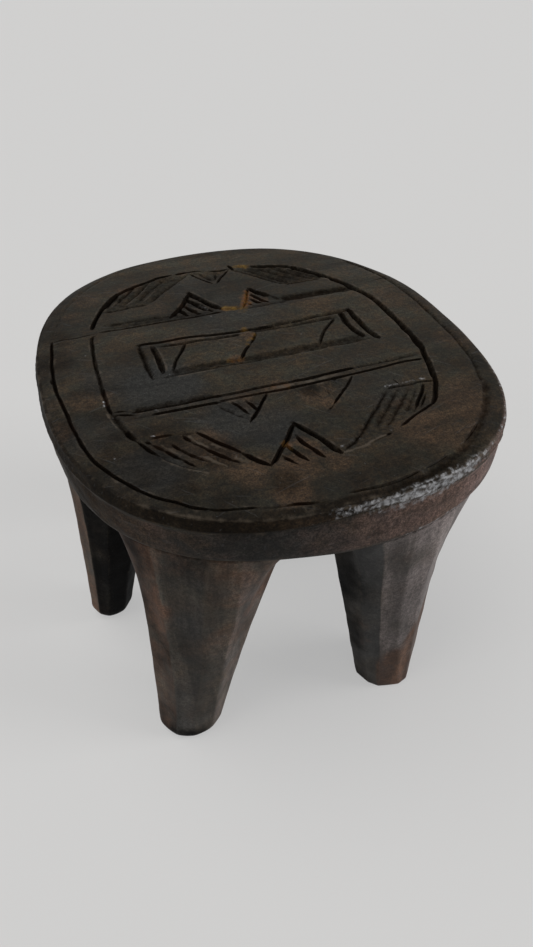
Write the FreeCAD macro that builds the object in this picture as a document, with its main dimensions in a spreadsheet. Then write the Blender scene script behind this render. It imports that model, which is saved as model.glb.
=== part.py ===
"""A carved wooden stool: an oval seat slab on six faceted, tapering legs.

Millimetres. +Z is up, +X runs along the carved bands, +Y is the seat's long way.
The origin is on the floor, under the middle of the seat.
Each leg has a round tenon that sits in a blind mortise in the seat's underside.
"""
import FreeCAD, Part
import math
import os
import Sketcher

doc = FreeCAD.newDocument("CarvedStool")

# ---------------------------------------------------------------- sizes
sizes = {
    # the whole stool
    "stoolHeight": 258,
    "seatWidth": 330,
    "seatLength": 372,
    # the seat's oval outline: eight arcs, four wide ones and four corners
    "sideRadius": 300,
    "endRadius": 270,
    "cornerRadius": 112,
    # the slab is a rounded rim standing a little proud of a plain band
    "rimDepth": 14,
    "rimRound": 9,
    "bandDepth": 24,
    "bandInset": 2.5,
    "bandRound": 2,
    # two ring grooves cut into the top
    "outerRingInset": 13,
    "fieldWidth": 240,
    "fieldLength": 283,
    "fieldSideRadius": 300,
    "fieldEndRadius": 225,
    "fieldCornerRadius": 78,
    "ringWidth": 3.6,
    "ringDepth": 2.6,
    # the knife cuts of the carved field
    "boldWidth": 5,
    "boldDepth": 3,
    "lineWidth": 3,
    "lineDepth": 2,
    "fineWidth": 1.8,
    "fineDepth": 1.1,
    "shelfWidth": 10,
    "shelfDepth": 1.4,
    "cutLift": 0.8,
    "pointShare": 0.8,
    # the legs
    "headInset": 49,
    "footInset": 16,
    "kneeHeight": 112,
    "kneeShare": 0.45,
    "soleRise": 4,
    "soleEdge": 3,
    # the joint between leg and seat
    "tenonDiameter": 40,
    "tenonLength": 22,
    "tenonClearance": 0.25,
    "mortiseEndGap": 1,
}

# Each leg: where its head and its foot stand, as shares of the room left inside the seat's
# outline, the way its outer face looks, its head's half sizes outward and sideways, and the
# half size of its foot.
legs = {
    "left_leg": ((-1.00, -0.02), (-1.00, 0.05), 180, 42, 40, 18),
    "front_left_leg": ((-0.64, -0.92), (-0.69, -0.75), -122, 42, 50, 26),
    "front_right_leg": ((0.40, -0.98), (0.46, -0.81), -73, 43, 50, 23),
    "right_leg": ((1.00, 0.02), (1.00, -0.04), 0, 42, 42, 18),
    "back_right_leg": ((0.64, 0.92), (0.68, 0.75), 58, 42, 48, 23),
    "back_left_leg": ((-0.40, 0.98), (-0.45, 0.80), 107, 43, 48, 24),
}
facetCount = 10


def fillSheet():
    """Put every driving size in the sheet, one row each, with its alias."""
    table = doc.addObject("Spreadsheet::Sheet", "Sizes")
    values = dict(sizes)
    for name, (_, _, _, outward, sideways, foot) in legs.items():
        key = camel(name)
        values[key + "HeadOut"] = outward
        values[key + "HeadSide"] = sideways
        values[key + "Foot"] = foot
    for row, (alias, value) in enumerate(values.items(), start=1):
        table.set(f"A{row}", alias)
        table.set(f"B{row}", str(value))
        table.setAlias(f"B{row}", alias)
    doc.recompute()
    return table


def camel(name):
    """left_leg becomes leftLeg, the form that the sheet's aliases use."""
    first, *rest = name.split("_")
    return first + "".join(word.capitalize() for word in rest)


sheet = fillSheet()


class Sized:
    """A length with the sheet expression that it comes from, so that both stay in step."""

    def __init__(self, value, text):
        self.value = value
        self.text = text

    def __add__(self, other):
        other = asSized(other)
        return Sized(self.value + other.value, f"({self.text} + {other.text})")

    def __sub__(self, other):
        other = asSized(other)
        return Sized(self.value - other.value, f"({self.text} - {other.text})")

    def __mul__(self, other):
        other = asSized(other)
        return Sized(self.value * other.value, f"({self.text} * {other.text})")

    def __truediv__(self, other):
        other = asSized(other)
        return Sized(self.value / other.value, f"({self.text} / {other.text})")


def asSized(item):
    return item if isinstance(item, Sized) else Sized(item, f"({item:.9f})")


def cell(alias):
    """The sheet's cell of that name."""
    return Sized(float(sheet.get(alias)), f"Sizes.{alias}")


topHeight = cell("stoolHeight")
bandTop = topHeight - cell("rimDepth")
underside = bandTop - cell("bandDepth")
halfWidth = cell("seatWidth") / 2
halfLength = cell("seatLength") / 2


# ---------------------------------------------------------------- sketches
def originPlane(body, role):
    return next(plane for plane in body.Origin.OriginFeatures if plane.Role == role)


def newSketch(body, name, height):
    """A level sketch in the body at the given height."""
    sketch = body.newObject("Sketcher::SketchObject", name)
    sketch.AttachmentSupport = [(originPlane(body, "XY_Plane"), "")]
    sketch.MapMode = "FlatFace"
    sketch.setExpression(".AttachmentOffset.Base.z", height.text)
    return sketch


def bind(sketch, kind, curve, end, length):
    """Tie one measure of a curve to the sheet: its radius, or an end's place from the origin."""
    if kind == "Radius":
        constraint = Sketcher.Constraint(kind, curve, length.value)
    else:
        constraint = Sketcher.Constraint(kind, -1, 1, curve, end, length.value)
    number = sketch.addConstraint(constraint)
    sketch.setExpression(f"Constraints[{number}]", length.text)


def arcAbout(x, y, radius, start, end):
    circle = Part.Circle(FreeCAD.Vector(x, y, 0), FreeCAD.Vector(0, 0, 1), radius)
    return Part.ArcOfCircle(circle, start, end)


def addOval(sketch, across, along, side, end, corner):
    """A closed oval of eight tangent arcs about the sketch's origin.

    across and along are its half sizes. The side arcs' middles lie on X and the end arcs'
    middles on Y, and each corner arc touches its two neighbours from inside.
    """
    sideMiddle = across.value - side.value
    endMiddle = along.value - end.value
    reachSide = side.value - corner.value
    reachEnd = end.value - corner.value
    span = math.hypot(sideMiddle, endMiddle)
    step = (reachSide ** 2 - reachEnd ** 2 + span ** 2) / (2 * span)
    rise = math.sqrt(reachSide ** 2 - step ** 2)
    ux, uy = -sideMiddle / span, endMiddle / span
    cornerX = sideMiddle + step * ux - rise * uy
    cornerY = step * uy + rise * ux
    low = math.atan2(cornerY, cornerX - sideMiddle)
    high = math.atan2(cornerY - endMiddle, cornerX)
    turn = math.pi
    radius = corner.value
    first = sketch.GeometryCount
    sketch.addGeometry([
        arcAbout(sideMiddle, 0, side.value, -low, low),
        arcAbout(cornerX, cornerY, radius, low, high),
        arcAbout(0, endMiddle, end.value, high, turn - high),
        arcAbout(-cornerX, cornerY, radius, turn - high, turn - low),
        arcAbout(-sideMiddle, 0, side.value, turn - low, turn + low),
        arcAbout(-cornerX, -cornerY, radius, turn + low, turn + high),
        arcAbout(0, -endMiddle, end.value, turn + high, 2 * turn - high),
        arcAbout(cornerX, -cornerY, radius, 2 * turn - high, 2 * turn - low),
    ], False)
    for number in range(8):
        following = first + (number + 1) % 8
        sketch.addConstraint(Sketcher.Constraint("Tangent", first + number, 2, following, 1))
    arcRadii = (side, corner, end, corner) * 2
    for number, arcRadius in enumerate(arcRadii):
        bind(sketch, "Radius", first + number, 0, arcRadius)
    xAxis, yAxis = -1, -2
    for number, sign in ((0, 1), (4, -1)):
        sketch.addConstraint(Sketcher.Constraint("PointOnObject", first + number, 3, xAxis))
        bind(sketch, "DistanceX", first + number, 3, (across - side) * sign)
    for number, sign in ((2, 1), (6, -1)):
        sketch.addConstraint(Sketcher.Constraint("PointOnObject", first + number, 3, yAxis))
        bind(sketch, "DistanceY", first + number, 3, (along - end) * sign)


def addSeatOval(sketch, inset):
    """The seat's outline, drawn in by the inset all round."""
    addOval(sketch, halfWidth - inset, halfLength - inset, cell("sideRadius") - inset,
            cell("endRadius") - inset, cell("cornerRadius") - inset)


def addFieldOval(sketch, inset):
    """The outline of the carved field, drawn in by the inset all round."""
    addOval(sketch, cell("fieldWidth") / 2 - inset, cell("fieldLength") / 2 - inset,
            cell("fieldSideRadius") - inset, cell("fieldEndRadius") - inset,
            cell("fieldCornerRadius") - inset)


def addPolygon(sketch, corners):
    """A closed outline through (x, y) corners, each tied to the sheet."""
    first = sketch.GeometryCount
    points = [FreeCAD.Vector(x.value, y.value, 0) for x, y in corners]
    count = len(points)
    sketch.addGeometry([Part.LineSegment(points[i], points[(i + 1) % count])
                        for i in range(count)], False)
    for i in range(count):
        following = first + (i + 1) % count
        sketch.addConstraint(Sketcher.Constraint("Coincident", first + i, 2, following, 1))
    for i, (x, y) in enumerate(corners):
        bind(sketch, "DistanceX", first + i, 1, x)
        bind(sketch, "DistanceY", first + i, 1, y)


def addCircle(sketch, centre, radius):
    """A circle, its centre and radius tied to the sheet."""
    middle = FreeCAD.Vector(centre[0].value, centre[1].value, 0)
    number = sketch.addGeometry(Part.Circle(middle, FreeCAD.Vector(0, 0, 1), radius.value), False)
    bind(sketch, "Radius", number, 0, radius)
    bind(sketch, "DistanceX", number, 3, centre[0])
    bind(sketch, "DistanceY", number, 3, centre[1])


# ---------------------------------------------------------------- features
def newBody(name, label):
    body = doc.addObject("PartDesign::Body", name)
    body.Label = label
    return body


def pad(body, name, sketch, length, reversed_=False):
    feature = body.newObject("PartDesign::Pad", name)
    feature.Profile = sketch
    feature.setExpression("Length", length.text)
    feature.Reversed = reversed_
    doc.recompute()
    return feature


def pocket(body, name, sketch, length, reversed_=False):
    """A pocket, with a check that it points into the wood and cuts some away."""
    before = body.Shape.Volume
    feature = body.newObject("PartDesign::Pocket", name)
    feature.Profile = sketch
    feature.setExpression("Length", length.text)
    feature.Reversed = reversed_
    doc.recompute()
    if not feature.Shape.Volume < before:
        raise RuntimeError(f"{name} cut nothing")
    return feature


def edgesAt(feature, height):
    """The names of a feature's edges that lie wholly at one height."""
    near = 1e-4
    return [f"Edge{number}" for number, edge in enumerate(feature.Shape.Edges, start=1)
            if abs(edge.BoundBox.ZMin - height) < near and abs(edge.BoundBox.ZMax - height) < near]


def roundEdges(body, name, feature, height, radius):
    fillet = body.newObject("PartDesign::Fillet", name)
    fillet.Base = (feature, edgesAt(feature, height.value))
    fillet.setExpression("Radius", radius.text)
    doc.recompute()
    return fillet


# ---------------------------------------------------------------- where the legs stand
def headPlace(name):
    share = legs[name][0]
    inset = cell("headInset")
    return (halfWidth - inset) * share[0], (halfLength - inset) * share[1]


def footPlace(name):
    share = legs[name][1]
    inset = cell("footInset")
    return (halfWidth - inset) * share[0], (halfLength - inset) * share[1]


# ---------------------------------------------------------------- the seat
def makeSlab():
    """The seat before its carving: rim, band, ring grooves and six blind mortises."""
    body = newBody("SeatSlab", "seat_slab")
    zero = asSized(0)
    rimSketch = newSketch(body, "RimOutline", topHeight)
    addSeatOval(rimSketch, zero)
    rim = pad(body, "Rim", rimSketch, cell("rimDepth"), reversed_=True)
    rounded = roundEdges(body, "RimRounding", rim, topHeight, cell("rimRound"))
    bandSketch = newSketch(body, "BandOutline", bandTop)
    addSeatOval(bandSketch, cell("bandInset"))
    band = pad(body, "Band", bandSketch, cell("bandDepth"), reversed_=True)
    roundEdges(body, "BandRounding", band, underside, cell("bandRound"))
    half = cell("ringWidth") / 2
    outerSketch = newSketch(body, "OuterRing", topHeight)
    addSeatOval(outerSketch, cell("outerRingInset") - half)
    addSeatOval(outerSketch, cell("outerRingInset") + half)
    pocket(body, "OuterRingGroove", outerSketch, cell("ringDepth"))
    innerSketch = newSketch(body, "InnerRing", topHeight)
    addFieldOval(innerSketch, zero - half)
    addFieldOval(innerSketch, half)
    pocket(body, "InnerRingGroove", innerSketch, cell("ringDepth"))
    mortises = newSketch(body, "Mortises", underside)
    hole = cell("tenonDiameter") / 2 + cell("tenonClearance")
    for name in legs:
        addCircle(mortises, headPlace(name), hole)
    pocket(body, "MortiseHoles", mortises, cell("tenonLength") + cell("mortiseEndGap"), reversed_=True)
    return body


# The carving is laid out on the field inside the inner ring, in hundredths of its half width
# and half length from its middle. The cuts are straight knife strokes of V section.
cutStyles = {"bold": [], "line": [], "fine": [], "shelf": []}


def stroke(style, start, end):
    cutStyles[style].append((start, end))


def between(a, b, share):
    return (a[0] + (b[0] - a[0]) * share, a[1] + (b[1] - a[1]) * share)


def hatchedTriangle(apex, sideEnd, baseEnd, count, style="line", sideStyle="bold"):
    """A triangle's side from apex to sideEnd, and count strokes along it towards baseEnd.

    Each stroke starts on the other side, from apex to baseEnd, and ends on the base.
    """
    hatched = 0.72
    for number in range(count + 1):
        share = hatched * number / count
        start = between(apex, baseEnd, share)
        end = between(sideEnd, baseEnd, share)
        stroke(sideStyle if number == 0 else style, start, end)


def layOutBands():
    for left, right in (((-93, 49), (-37, 49)), ((36, 49), (93, 48))):
        stroke("shelf", left, right)
    stroke("line", (-94, 42), (94, 42))
    stroke("line", (-96, -37), (-50, -40))
    stroke("line", (-50, -39.5), (92, -37))
    stroke("line", (-92, -43), (-39, -44))
    stroke("line", (-39, -43), (92, -41))


def layOutRectangle():
    stroke("line", (-70, 21), (78, 20))
    stroke("line", (-63, 16), (66, 15.5))
    stroke("shelf", (-66, -9), (72, -9))
    uprights = (((-70, 21), (-70, -13)), ((-62, 15), (-61, -9)),
                ((68, 18), (72, -9)), ((76, 20), (79, -13)))
    for top, bottom in uprights:
        stroke("bold", top, bottom)
    for top, bottom in ((-42, -55), (7, -12), (62, 40)):
        stroke("fine", (top, 14), (bottom, -9))


def layOutTriangles():
    hatchedTriangle((-21, 73), (-5, 48), (-42, 47), 4)
    hatchedTriangle((22, 66), (35, 48), (10, 48), 3)
    hatchedTriangle((0, 80), (18, 96), (-13, 96), 3, style="fine", sideStyle="line")
    hatchedTriangle((-27, -63), (-13, -44), (-39, -45), 3, style="fine")
    hatchedTriangle((18, -67), (43, -44), (8, -44), 3, style="fine")
    hatchedTriangle((-6, -72), (8, -98), (-32, -96), 4)


def layOutCorners():
    hatchedTriangle((-13, 97), (-52, 66), (-84, 66), 4, style="fine", sideStyle="line")
    hatchedTriangle((20, 97), (50, 66), (80, 66), 4, style="fine", sideStyle="line")
    stroke("line", (-52, 66), (-84, 66))
    stroke("line", (50, 66), (80, 66))
    hatchedTriangle((-30, -96), (-59, -62), (-82, -62), 4)
    hatchedTriangle((8, -98), (55, -61), (83, -60), 5, style="fine", sideStyle="line")
    stroke("line", (-59, -61), (-85, -62))
    stroke("line", (55, -60), (84, -59))


def makeCut(style, number, start, end):
    """One V cut: a wedge whose sharp edge lies at the cut's depth, pointed at both ends.

    It reaches a little above the wood, and is wider there by as much as its sides slope.
    """
    width, depth, lift = cell(style + "Width"), cell(style + "Depth"), cell("cutLift")
    tall = depth + lift
    wide = width * tall / depth
    across, along = cell("fieldWidth") / 200, cell("fieldLength") / 200
    x, y = across * start[0], along * start[1]
    runX, runY = across * (end[0] - start[0]), along * (end[1] - start[1])
    length = Sized(math.hypot(runX.value, runY.value), f"hypot({runX.text}; {runY.text})")
    point = depth * cell("pointShare")
    cut = doc.addObject("Part::Wedge", f"{style.capitalize()}Cut{number}")
    cut.Xmin, cut.Ymin, cut.Zmin = 0, 0, 0
    cut.setExpression("Xmax", length.text)
    cut.setExpression("Ymax", tall.text)
    cut.setExpression("Zmax", wide.text)
    cut.setExpression("X2min", point.text)
    cut.setExpression("X2max", (length - point).text)
    cut.setExpression("Z2min", (wide / 2).text)
    cut.setExpression("Z2max", (wide / 2).text)
    up = FreeCAD.Vector(0, 0, 1)
    heading = FreeCAD.Rotation(up, math.degrees(math.atan2(runY.value, runX.value)))
    tip = FreeCAD.Rotation(FreeCAD.Vector(1, 0, 0), -90)
    corner = heading.multVec(FreeCAD.Vector(0, -wide.value / 2, 0))
    place = FreeCAD.Vector(x.value, y.value, topHeight.value + lift.value) + corner
    cut.Placement = FreeCAD.Placement(place, heading.multiply(tip))
    return cut


def makeSeat():
    """The slab with its carved field."""
    slab = makeSlab()
    for layOut in (layOutBands, layOutRectangle, layOutTriangles, layOutCorners):
        layOut()
    cuts = [makeCut(style, number, start, end) for style, strokes in cutStyles.items()
            for number, (start, end) in enumerate(strokes, start=1)]
    doc.recompute()
    carving = doc.addObject("Part::MultiFuse", "Carving")
    carving.Shapes = cuts
    doc.recompute()
    seat = doc.addObject("Part::Cut", "Seat")
    seat.Base = slab
    seat.Tool = carving
    seat.Label = "seat"
    doc.recompute()
    return seat


# ---------------------------------------------------------------- the legs
def addFacets(sketch, centre, outward, sideways, facing):
    """A level ring of facets about a centre, longer or shorter outward than sideways."""
    turned = math.radians(facing)
    corners = []
    for number in range(facetCount):
        angle = 2 * math.pi * (number + 0.5) / facetCount
        out, side = outward * math.cos(angle), sideways * math.sin(angle)
        corners.append((centre[0] + out * math.cos(turned) - side * math.sin(turned),
                        centre[1] + out * math.sin(turned) + side * math.cos(turned)))
    addPolygon(sketch, corners)


def makeLeg(name):
    """A leg: a facet-sided taper from its head down to its sole, and a tenon on top."""
    facing = legs[name][2]
    key = camel(name)
    headOut, headSide = cell(key + "HeadOut"), cell(key + "HeadSide")
    foot = cell(key + "Foot")
    headX, headY = headPlace(name)
    footX, footY = footPlace(name)
    leanX, leanY = headX - footX, headY - footY
    body = newBody(key, name)
    body.setExpression("Placement.Base.x", footX.text)
    body.setExpression("Placement.Base.y", footY.text)
    kneeShare, kneeHeight = cell("kneeShare"), cell("kneeHeight")
    rise = kneeHeight / underside
    middle = (asSized(0), asSized(0))
    sole = foot - cell("soleEdge")
    levels = [
        ("Sole", asSized(0), middle, sole, sole),
        ("Ankle", cell("soleRise"), middle, foot, foot),
        ("Knee", kneeHeight, (leanX * rise, leanY * rise),
         foot + (headOut - foot) * kneeShare, foot + (headSide - foot) * kneeShare),
        ("Head", underside, (leanX, leanY), headOut, headSide),
    ]
    rings = []
    for level, height, centre, outward, sideways in levels:
        ring = newSketch(body, f"{key}{level}", height)
        addFacets(ring, centre, outward, sideways, facing)
        rings.append(ring)
    doc.recompute()
    shaft = body.newObject("PartDesign::AdditiveLoft", f"{key}Shaft")
    shaft.Profile = rings[0]
    shaft.Sections = rings[1:]
    shaft.Ruled = True
    doc.recompute()
    tenon = newSketch(body, f"{key}TenonCircle", underside)
    addCircle(tenon, (leanX, leanY), cell("tenonDiameter") / 2)
    pad(body, f"{key}Tenon", tenon, cell("tenonLength"))
    return body


# ---------------------------------------------------------------- build, check and write
def checkAll(parts):
    for item in doc.Objects:
        if "Invalid" in item.State or "Error" in item.State:
            raise RuntimeError(f"{item.Name} failed: {item.State}")
    for label, part in parts.items():
        shape = part.Shape
        if shape.isNull() or not shape.isValid() or len(shape.Solids) != 1:
            raise RuntimeError(f"{label} isn't one sound solid")


parts = {"seat": makeSeat()}
for legName in legs:
    parts[legName] = makeLeg(legName)
doc.recompute()
checkAll(parts)
os.makedirs("parts", exist_ok=True)
for label, part in parts.items():
    part.Shape.exportStep(f"parts/{label}.step")
    print(label, round(part.Shape.Volume / 1000, 1), "cm3")
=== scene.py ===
import math

import bpy
import numpy as np
from mathutils import Matrix, Vector
from mathutils.geometry import delaunay_2d_cdt


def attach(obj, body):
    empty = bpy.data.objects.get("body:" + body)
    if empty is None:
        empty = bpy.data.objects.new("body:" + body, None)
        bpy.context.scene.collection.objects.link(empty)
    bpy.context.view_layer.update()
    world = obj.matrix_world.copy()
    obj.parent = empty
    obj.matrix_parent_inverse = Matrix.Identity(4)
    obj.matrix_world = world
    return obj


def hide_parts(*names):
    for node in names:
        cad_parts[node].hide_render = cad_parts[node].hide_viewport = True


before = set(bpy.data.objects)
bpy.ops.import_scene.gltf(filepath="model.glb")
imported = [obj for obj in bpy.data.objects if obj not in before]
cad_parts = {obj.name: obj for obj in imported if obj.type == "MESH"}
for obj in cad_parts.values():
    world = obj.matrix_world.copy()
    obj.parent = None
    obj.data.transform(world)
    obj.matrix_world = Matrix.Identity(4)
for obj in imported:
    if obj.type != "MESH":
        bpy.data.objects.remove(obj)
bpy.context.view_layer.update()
mm = 0.001
print("stool: packed frame loaded")


# small helpers
# 0 below low, 1 above high, smooth between
def easeBetween(value, low, high):
    share = np.clip((value - low) / (high - low), 0.0, 1.0)
    return share * share * (3.0 - 2.0 * share)


# 0, rising to 1 between the first two limits and back to 0 between the last two
def within(value, start, fullFrom, fullTo, end):
    return easeBetween(value, start, fullFrom) * (1 - easeBetween(value, fullTo, end))


# 1 at the middle, fading on both sides of it
def bell(value, middle, width):
    return np.exp(-((value - middle) / width) ** 2)


# the same round a full turn, in degrees
def bellTurn(degrees, middle, width):
    return bell((degrees - middle + 180) % 360 - 180, 0, width)


# seeded bumps, mostly between -1 and 1, each about size mm long
def bumps(size, seed, *coords, waves=9, lengths=(0.7, 1.7), divisor=2.6):
    draws = np.random.default_rng(seed)
    total = 0.0
    for number in range(waves):
        heading = draws.normal(size=len(coords))
        heading /= np.linalg.norm(heading)
        turn = 2 * math.pi / (size * draws.uniform(*lengths))
        phase = draws.uniform(0, 2 * math.pi)
        along = sum(coord * part for coord, part in zip(coords, heading))
        total = total + np.sin(along * turn + phase)
    return total / divisor


# the same bumps, held between 0 and 1
def swells(size, seed, *coords):
    return 0.5 + 0.5 * np.clip(bumps(size, seed, *coords), -1, 1)


# an even run of places along a smooth curve through given points
def throughPoints(points, step, samples=12):
    knots = np.array(points, float)
    knots = np.vstack([2 * knots[0] - knots[1], knots, 2 * knots[-1] - knots[-2]])
    runs = []
    share = np.linspace(0, 1, samples, endpoint=False)[:, None]
    for a, b, c, d in zip(knots[:-3], knots[1:-2], knots[2:-1], knots[3:]):
        bend = (2 * a - 5 * b + 4 * c - d) * share ** 2 + (3 * b - a - 3 * c + d) * share ** 3
        runs.append(0.5 * (2 * b + (c - a) * share + bend))
    fine = np.vstack(runs + [knots[-2:-1]])
    along = np.concatenate([[0], np.cumsum(np.linalg.norm(np.diff(fine, axis=0), axis=1))])
    count = max(4, int(round(along[-1] / step)) + 1)
    even = np.linspace(0, along[-1], count)
    return np.column_stack([np.interp(even, along, values) for values in fine.T]), even


# a mesh piece from points in mm, with per-point masks that the materials read
def makePiece(name, points, faces, masks, sharpAngle):
    mesh = bpy.data.meshes.new(name)
    mesh.from_pydata([tuple(point * mm) for point in points], [], faces)
    mesh.validate()
    mesh.update()
    for mask, values in masks.items():
        layer = mesh.attributes.new(mask, "FLOAT", "POINT")
        layer.data.foreach_set("value", np.clip(values, 0, 1).astype(np.float32))
    mesh.shade_smooth()
    mesh.set_sharp_from_angle(angle=math.radians(sharpAngle))
    piece = bpy.data.objects.new(name, mesh)
    bpy.context.scene.collection.objects.link(piece)
    return piece


# how strongly each place lies under soft round spots (x, y, radius, strength)
def spotted(x, y, spots, flatShare=0.35):
    cover = np.zeros(len(x))
    for spotX, spotY, radius, strength in spots:
        reach = np.hypot(x - spotX, y - spotY) / radius
        cover = np.maximum(cover, strength * (1 - easeBetween(reach, flatShare, 1.0)))
    return cover


# the seat
seat = {
    "top": 258.0,
    "underside": 220.0,
    "rim": {"middle": 1.2, "halfWidth": 164.7, "halfLength": 185.6, "square": 2.5,
            "corners": (2.25, 2.55, 2.5, 2.75)},
    "shoulder": {"halfWidth": 151.0, "halfLength": 176.5, "square": 2.5,
                 "corners": (2.4, 2.55, 2.5, 2.6)},
    "lipDrop": 9.4,
    "stepAt": 12.0,
    "stepWidth": 2.4,
    "bandFrom": 13.0,
    "columns": 720,
    "pitch": 1.8,
    "underPitch": 4.2,
    "waviness": 0.4,
    "dents": 0.07,
    "strokeStep": 1.8,
    "edgeWear": 0.1,
    "edgeStrip": (2.5, 6.0),
    "topMargin": 2.3,
    "guides": {"beside": 0.6, "wall": 0.74, "wideFrom": 1.2},
    "underScoops": {"depth": 0.8, "acrossStep": 26.0, "alongStep": 15.0, "halfWidth": 13.0,
                    "halfLength": 8.0, "strayAcross": 6, "strayAlong": 4},
    "underMasks": {"cut": 0.25, "rust": 0.3, "grey": 0.2, "soot": 0.3},
    "gridAcross": (-170, 172),
    "gridAlong": (-190, 190),
    "sharpAngle": 28,
}

# wear on the top: how pale the cuts' lips and the outermost strip are, how rough worn floors are,
# how much grime and painted shade a ridge has lost, how much of the rust lies under them, and a
# ridge's core and border
seat["topWear"] = {"lips": 0.45, "strip": 0.42, "roughFloor": 0.25, "ridgeCleared": 0.8,
                   "rustCovered": 0.5, "ridgeCore": 0.2, "ridgeBorder": 0.6}

# the lip's upper edge by angle: its inset from the widest line, and how far it lies below the top
seat["lipEdge"] = (
    (-180, 2.4, 1.7), (-148, 2.3, 1.5), (-120, 2.8, 1.7), (-107, 2.6, 1.9), (-95, 1.7, 3.3),
    (-80, 1.0, 4.6), (-67, 1.3, 3.6), (-50, 1.7, 2.8), (-20, 2.0, 2.2), (20, 2.2, 2.0),
    (60, 2.4, 2.2), (100, 2.6, 2.0), (140, 2.4, 2.2), (180, 2.4, 1.7),
)

# rows that round the top's edge: how much further in than the edge they lie, and how far below the
# top's slope or, in the second pair, below the edge
seat["slopeRows"] = ((1.3, 0.08), (0.6, 0.22))
seat["edgeRows"] = ((0.1, 0.35), (-0.2, 0.9))

# the lip's rounded face: share of the edge's inset left, and share of the way down the lip
seat["lipFace"] = ((0.82, 0.24), (0.60, 0.42), (0.38, 0.60), (0.18, 0.78), (0.05, 0.91), (0.0, 1.0))

# the side below the lip: inset from the widest line and height below the top
seat["sideRows"] = (
    (0.1, 10.2), (0.5, 10.8), (1.2, 11.2), (1.9, 11.7), (2.2, 12.6), (2.1, 14.0), (1.9, 16.0),
    (1.7, 18.4), (1.6, 20.8), (1.6, 23.2), (1.7, 25.6), (1.8, 28.0), (1.9, 30.4), (2.1, 32.6),
    (2.3, 34.6), (2.7, 36.2), (3.4, 37.3), (4.8, 37.9), (7.5, 38.0),
)

# how far the band's lower edge hangs below the underside, by angle
seat["bandHang"] = (
    (-180, 0.3), (-150, 0.5), (-130, 0.0), (-110, 0.0), (-105, 0.8), (-100, 2.4), (-95, 5.2),
    (-90, 7.6), (-84, 9.0), (-78, 9.0), (-72, 7.4), (-66, 5.0), (-60, 3.2), (-50, 1.2), (-38, 0.0),
    (0, 0.6), (40, 0.0), (75, 0.8), (110, 0.2), (150, 0.8), (180, 0.3),
)

# how each kind of cut is shaped: its section, how far its ends taper, how deep they stay, how dark
# the smoke and dirt in it are together with painted shade, and how far in from its edges they are
# darkest
seat["cutKinds"] = {
    "vee": {"taper": 6.0, "ends": 0.3, "section": "vee", "dark": 1.0, "core": 0.45},
    "run": {"taper": 2.0, "ends": 0.5, "section": "vee", "dark": 1.0, "core": 0.45},
    "dim": {"taper": 5.0, "ends": 0.25, "section": "vee", "dark": 0.76, "core": 0.8},
    "shade": {"taper": 9.0, "ends": 0.2, "section": "bowl", "dark": 0.78, "core": 0.7},
    "soft": {"taper": 9.0, "ends": 0.1, "section": "bowl", "dark": 0.6, "core": 0.5},
    "hatch": {"taper": 9.0, "ends": 0.1, "section": "bowl", "dark": 0.36, "core": 0.6},
    "crack": {"taper": 8.0, "ends": 0.1, "section": "vee", "dark": 0.7, "core": 0.4},
}

# how unevenly the knife was led: its wander aside, the longest taper as a share of the cut, the
# width left at a cut's ends, how width and depth waver, and how far the bottom leans aside
seat["knife"] = {"wander": 0.05, "mostWander": 0.16, "mostTaper": 0.4, "endWidth": 0.25,
                 "widthWaver": 0.07, "depthWaver": 0.14, "lean": 0.3}

# wear and dirt at a cut: how far out it reaches, where its worn lip lies and how wide that is, and
# the depths from which a lip is fully worn and a vee or a bowl fully dark
seat["cutWear"] = {"reach": 2.4, "lipAt": 0.2, "lipWidth": 0.6, "wornFrom": 2.4,
                   "veeDarkFrom": 1.3, "bowlDarkFrom": 1.1}

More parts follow.
